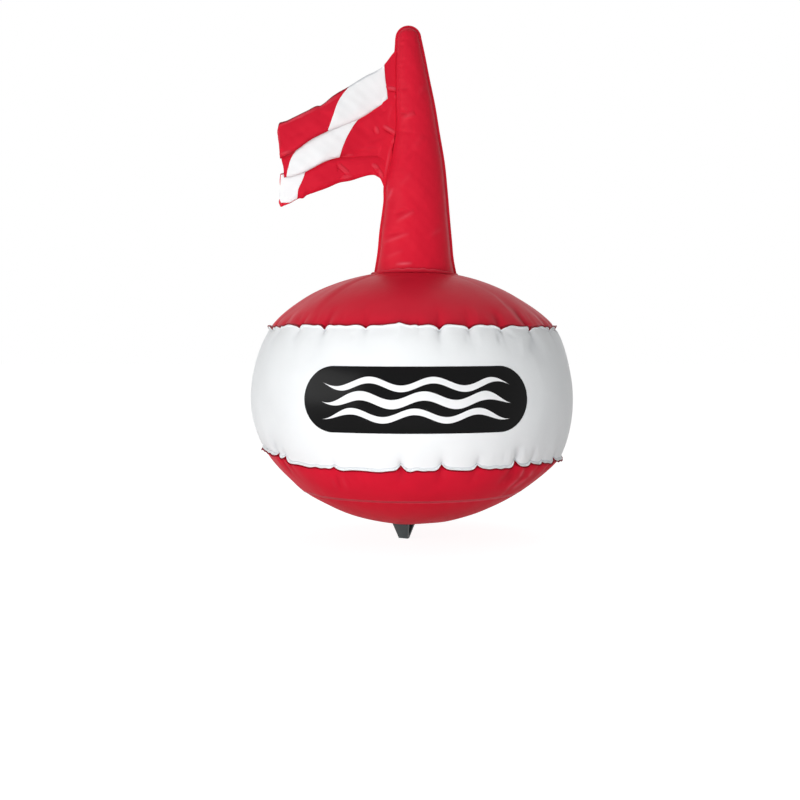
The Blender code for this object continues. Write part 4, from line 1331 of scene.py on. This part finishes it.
def flag_spot(column_at, place_across, down, hem):
    """A point of the flag's middle surface. column_at gives the pixel column for a row and a share across."""
    index = np.round(down * (len(FLAG_ROWS) - 1)).astype(int)
    strip, share, tuck, first, second = FLAG_ROWS[index].T
    column = column_at(index, place_across)
    if hem:
        share = np.where(strip == 2, share * np.interp(column, *HEM_PX), share)
    tables = (FLAG_TOP_PX, FIRST_CREASE_PX, SECOND_CREASE_PX, FLAG_BOTTOM_PX)
    lines = [through(table, column) for table in tables]
    top = np.choose(strip.astype(int), lines[:3])
    bottom = np.choose(strip.astype(int), lines[1:])
    hoist, fly = hoist_column(strip, share), strip_table(FLY_PX, strip, share)
    across = (hoist - column) / (hoist - fly)
    first_fold = eased(across, *FIRST_FOLD)
    second_fold = eased(across, *SECOND_FOLD)
    lips = [k * (STRIP_ROWS + TUCK_ROWS) - TUCK_ROWS / 2 for k in (1, 2)]
    stage = np.interp(index, (0, *lips, len(FLAG_ROWS) - 1), range(4))
    folding = first_fold + (second_fold - first_fold) * np.clip(stage - 1, 0, 1)
    depth = FOLD_DEPTH * (first * first_fold + second * second_fold)
    folded = top + (bottom - top) * share - TUCK_PX * tuck * folding
    stretch = np.minimum(stage, 2).astype(int)
    upper, lower = np.choose(stretch, lines[:3]), np.choose(stretch, lines[1:])
    flat = upper + (lower - upper) * (stage - stretch)
    row = folded if hem else folded + (flat - folded) * (1 - folding)
    x, z = seen(column, row, -depth)
    lift, hollow, shine = creased(FLAG_CREASES, x, -depth, z)
    loose = eased(across, *LOOSE_ACROSS) * FLAG_RIPPLE
    depth = depth + FLAG_CREASE_GAIN * lift + loose * rippled(FINE_WAVES, x, z)
    for pixel_x, pixel_y, size, deep in FLAG_DENTS:
        dent_x, dent_z = seen(pixel_x, pixel_y, -depth)
        depth = depth - deep * np.exp(-((x - dent_x) ** 2 + (z - dent_z) ** 2) / size**2)
    return np.stack([x, -depth, z], axis=1), across, share, strip, hollow, FLAG_CREASE_GLOW * shine


def flag_column(index, across):
    """The pixel column at a share across the flag, from the mast's weld to the fly edge."""
    strip, share = FLAG_ROWS[index, :2].T
    hoist = hoist_column(strip, share)
    return hoist + (strip_table(FLY_PX, strip, share) - hoist) * across


def stripe_column(index, across):
    """The pixel column at a share across the white stripe."""
    left, right = (stripe_edge(tables)[index] for tables in (STRIPE_LEFT_PX, STRIPE_RIGHT_PX))
    return right + (left - right) * across


def stripe_edge(tables):
    """The pixel column of the stripe's edge in each row, which jumps where a tuck hides it."""
    columns = strip_table(tables, FLAG_ROWS[:, 0], FLAG_ROWS[:, 1])
    for strip in (0, 1):
        lip = (strip + 1) * STRIP_ROWS + strip * TUCK_ROWS
        jump = eased(np.arange(TUCK_ROWS) / TUCK_ROWS, *JUMP_SHARE)
        columns[lip:lip + TUCK_ROWS] = columns[lip] + (columns[lip + TUCK_ROWS] - columns[lip]) * jump
    return columns


def flag_place(column_at, hem):
    def place(across, down):
        points, across, share, strip, hollow, shine = flag_spot(column_at, across, down, hem)
        # Painted shade under the lips, along the top edge and in crease hollows; the crease shine is painted
        # highlight
        lip = eased(share, *LIP_DOWN) * (strip < 2) * eased(across, *LIP_ACROSS)
        top = (1 - eased(share, *TOP_DOWN)) * (strip == 0) * eased(across, *TOP_ACROSS)
        return points, np.clip(LIP_SHADE * lip + top + FLAG_HOLLOW_SHADE * hollow, 0, 1), shine
    return place


def flag_lift(column_at, extra, hem):
    """How far a film's outside lies from the flag's middle surface."""
    def lift(across, down):
        _, across, share, strip, *_ = flag_spot(column_at, across, down, hem)
        middle = np.clip(across, 0, 1)
        crown = (1 - (2 * middle - 1) ** CROWN_POWER) * (1 - (2 * share - 1) ** CROWN_POWER)
        ends = np.where((share == 1) & (strip < 2), 0, crown) * (1 + LOW_STRIP_PUFF * (strip == 2))
        over = (OVER_FIN + FILM) * (1 - eased(across, *OVER_ACROSS))
        return np.maximum(GAP / 2 + FILM + FLAG_PUFF * ends, over) + extra
    return lift


def make_flag():
    rows = len(FLAG_ROWS) - 1
    films = (
        ("film", FLAG_COLUMNS, flag_column, 0, FILM, RED_FILM, "panel", (0.114, 0.118)),
        ("white", STRIPE_COLUMNS, stripe_column, STRIPE_FILM + STRIPE_LIFT, STRIPE_FILM, FLAG_WHITE,
         "stripe", (0.050, 0.140)),
    )
    for name, side in SIDES:
        for kind, columns, column_at, extra, film, paint, node, flat in films:
            white = kind == "white"
            place, lift = flag_place(column_at, white), flag_lift(column_at, extra, white)
            piece = film_grid(f"flag_{name}_{kind}", columns, rows, place, far_behind(side), lift)
            slot = "white_film" if white else "red_film"
            dress(walled(piece, film), None, slot, paint, f"flag_{name}_{node}")
            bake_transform(piece)


# Tow lug


def make_lug():
    bm = bmesh.new()
    bm.from_mesh(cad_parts["tow_lug"].data)
    bmesh.ops.remove_doubles(bm, verts=bm.verts, dist=LUG_MERGE)
    bmesh.ops.dissolve_limit(bm, angle_limit=LUG_FLAT, verts=bm.verts, edges=bm.edges)
    soften(bm, LUG_SOFT_EDGE)
    dress(finished("tow_lug_moulding", bm), "hull", "lug_black", lug_finish(), "tow_lug")


# Valve


def make_valve():
    frame = valve_frame()
    soft = valve_finish()

    def add(name, body, node, *solids):
        dress(finished(name, together(*solids)), body, "valve_soft", soft, node)

    bore = STEM_RADIUS + GAP
    flange_top = -(VALVE_FLANGE_RADIUS**2) / (2 * DOME_HEIGHT) - GAP
    flange = outline_of(bore, VALVE_FLANGE_RADIUS, flange_top - VALVE_FLANGE, flange_top)
    add("valve_flange_disc", "hull", "valve_flange", turned(flange, frame))

    foot = flange_top - VALVE_FLANGE - GAP - STEM_COLLAR
    stem = [
        (STEM_BORE, foot), (STEM_COLLAR_RADIUS, foot), (STEM_COLLAR_RADIUS, foot + STEM_COLLAR),
        (STEM_RADIUS, foot + STEM_COLLAR), (STEM_RADIUS, STEM_HEIGHT), (STEM_BORE, STEM_HEIGHT),
    ]
    add("valve_stem_tube", "valve", "valve_stem", turned(stem, frame))

    ring = outline_of(bore, STRAP_RING_RADIUS, STEM_HEIGHT - STRAP_RING_HEIGHT, STEM_HEIGHT)
    start, end = (bore + STRAP_RING_RADIUS) / 2, STRAP_REACH + PLUG_HEAD / 2
    tab = strap_bar(start, end, STRAP_TAB, STEM_HEIGHT - STRAP_TAB / 2 - GAP, frame)
    add("plug_strap", "valve", "plug_strap_ring", turned(ring, frame), tab)

    head = STEM_HEIGHT + GAP
    plug = [
        (0, head - PLUG_LENGTH), (PLUG_TIP_RADIUS, head - PLUG_LENGTH), (PLUG_TOP_RADIUS, head),
        (PLUG_HEAD_RADIUS, head), (PLUG_HEAD_RADIUS, head + PLUG_HEAD), (0, head + PLUG_HEAD),
    ]
    inner = PLUG_HEAD_RADIUS - PLUG_HEAD
    tongue = strap_bar(inner, end, PLUG_HEAD, head + PLUG_HEAD / 2, frame, PLUG_SOFT_EDGE)
    add("valve_plug_cap", "plug", "valve_plug", turned(plug, frame, closed=False), tongue)

    flap = outline_of(0, FLAP_RADIUS, foot - GAP - FLAP, foot - GAP)
    add("check_flap_disc", "flap", "check_flap", turned(flap, frame, closed=False, soft=FLAP_SOFT_EDGE))


# Studio


def add_lamp(name, place, target, power, size, glints):
    """A soft rectangular lamp that looks at a point, and may show in gloss."""
    data = bpy.data.lights.new(name, "AREA")
    data.energy = power
    data.shape = "RECTANGLE"
    data.size, data.size_y = size
    lamp = bpy.data.objects.new(name, data)
    lamp.visible_glossy = glints
    lamp.location = place
    lamp.rotation_euler = (Vector(target) - Vector(place)).to_track_quat("-Z", "Y").to_euler()
    bpy.context.scene.collection.objects.link(lamp)


def make_studio():
    scene = bpy.context.scene
    scene.view_settings.view_transform = "Standard"
    data = bpy.data.cameras.new("camera")
    data.sensor_width = SENSOR_WIDTH
    data.sensor_fit = "HORIZONTAL"
    data.lens = SENSOR_WIDTH * PHOTO_FOCUS / PHOTO_SIDE
    data.shift_y = (EYE_LEVEL_ROW - PHOTO_SIDE / 2) / PHOTO_SIDE
    camera = bpy.data.objects.new("camera", data)
    camera.location = CAMERA_PLACE
    camera.rotation_euler = (math.pi / 2, 0, 0)
    scene.collection.objects.link(camera)
    scene.camera = camera

    for lamp in LAMPS:
        add_lamp(*lamp)

    world = bpy.data.worlds.new("world")
    scene.world = world
    world.use_nodes = True
    air = Nodes(world.node_tree)
    background = air.tree.nodes["Background"]
    background.inputs["Color"].default_value = (1, 1, 1, 1)
    strength = SKY_LIGHT + (SKY_SEEN - SKY_LIGHT) * air.in_sight()
    air.tree.links.new(strength.socket, background.inputs["Strength"])

    bm = bmesh.new()
    bmesh.ops.create_grid(bm, x_segments=1, y_segments=1, size=FLOOR_REACH)
    bmesh.ops.translate(bm, verts=bm.verts, vec=(0, 0, FRAME_BOX[0].z - FLOOR_DROP))
    floor = finished("floor", bm)
    finish = Finish("floor_paint", roughness=0.9, specular=0.1)
    finish.feed("Base Color", finish.mixed(finish.noise(*FLOOR_CLOUDS), FLOOR_WHITE, FLOOR_CLOUD))
    glow = finish.node("ShaderNodeEmission", {}, {"Strength": FLOOR_SEEN})
    lit = Value(finish, finish.shader.outputs[0])
    seen_floor = finish.node("ShaderNodeMixShader", {}, {0: finish.in_sight() * FLOOR_SHARE, 1: lit, 2: glow})
    finish.tree.links.new(seen_floor.socket, finish.output.inputs["Surface"])
    floor.data.materials.append(finish.material)


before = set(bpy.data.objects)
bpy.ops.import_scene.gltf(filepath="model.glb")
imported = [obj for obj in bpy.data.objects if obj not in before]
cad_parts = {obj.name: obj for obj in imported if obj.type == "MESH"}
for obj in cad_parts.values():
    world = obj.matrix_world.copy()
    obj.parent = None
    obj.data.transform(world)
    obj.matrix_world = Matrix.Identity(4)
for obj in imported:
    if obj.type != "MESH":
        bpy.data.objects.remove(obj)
FRAME_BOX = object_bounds()
belt_low, belt_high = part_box("girth_band_panel")
AXIS = Vector(((belt_low.x + belt_high.x) / 2, (belt_low.y + belt_high.y) / 2, RING_HEIGHT))
VALVE_SPOT = valve_frame().translation
REDS, WHITES = (RED, DEEP_RED, PALE_RED), (SHADED_WHITE, WHITE)
RED_GLOSS = {"roughness": 0.42, "specular": 0.08, "clouds": 0.3, "depth": 0.8}
LOW_RED_GLOSS = {"roughness": 0.5, "specular": 0.02, "clouds": 0.3, "depth": 0.8}
WHITE_GLOSS = {"roughness": 0.4, "specular": 0.15, "clouds": 0.25, "depth": 0.55}
RED_FILM = film_finish("red_film", *REDS, **RED_GLOSS)
LOW_RED_FILM = film_finish("red_film_low", *REDS, **LOW_RED_GLOSS)
WHITE_FILM = film_finish("white_film", WHITE, *WHITES, **WHITE_GLOSS)
# The flag's stripes: the same white film, painted lighter than on the belt
FLAG_WHITE = film_finish("white_film_flag", LIT_WHITE, *WHITES, **WHITE_GLOSS)
make_hull()
make_mast()
make_flag()
make_lug()
make_valve()
make_studio()
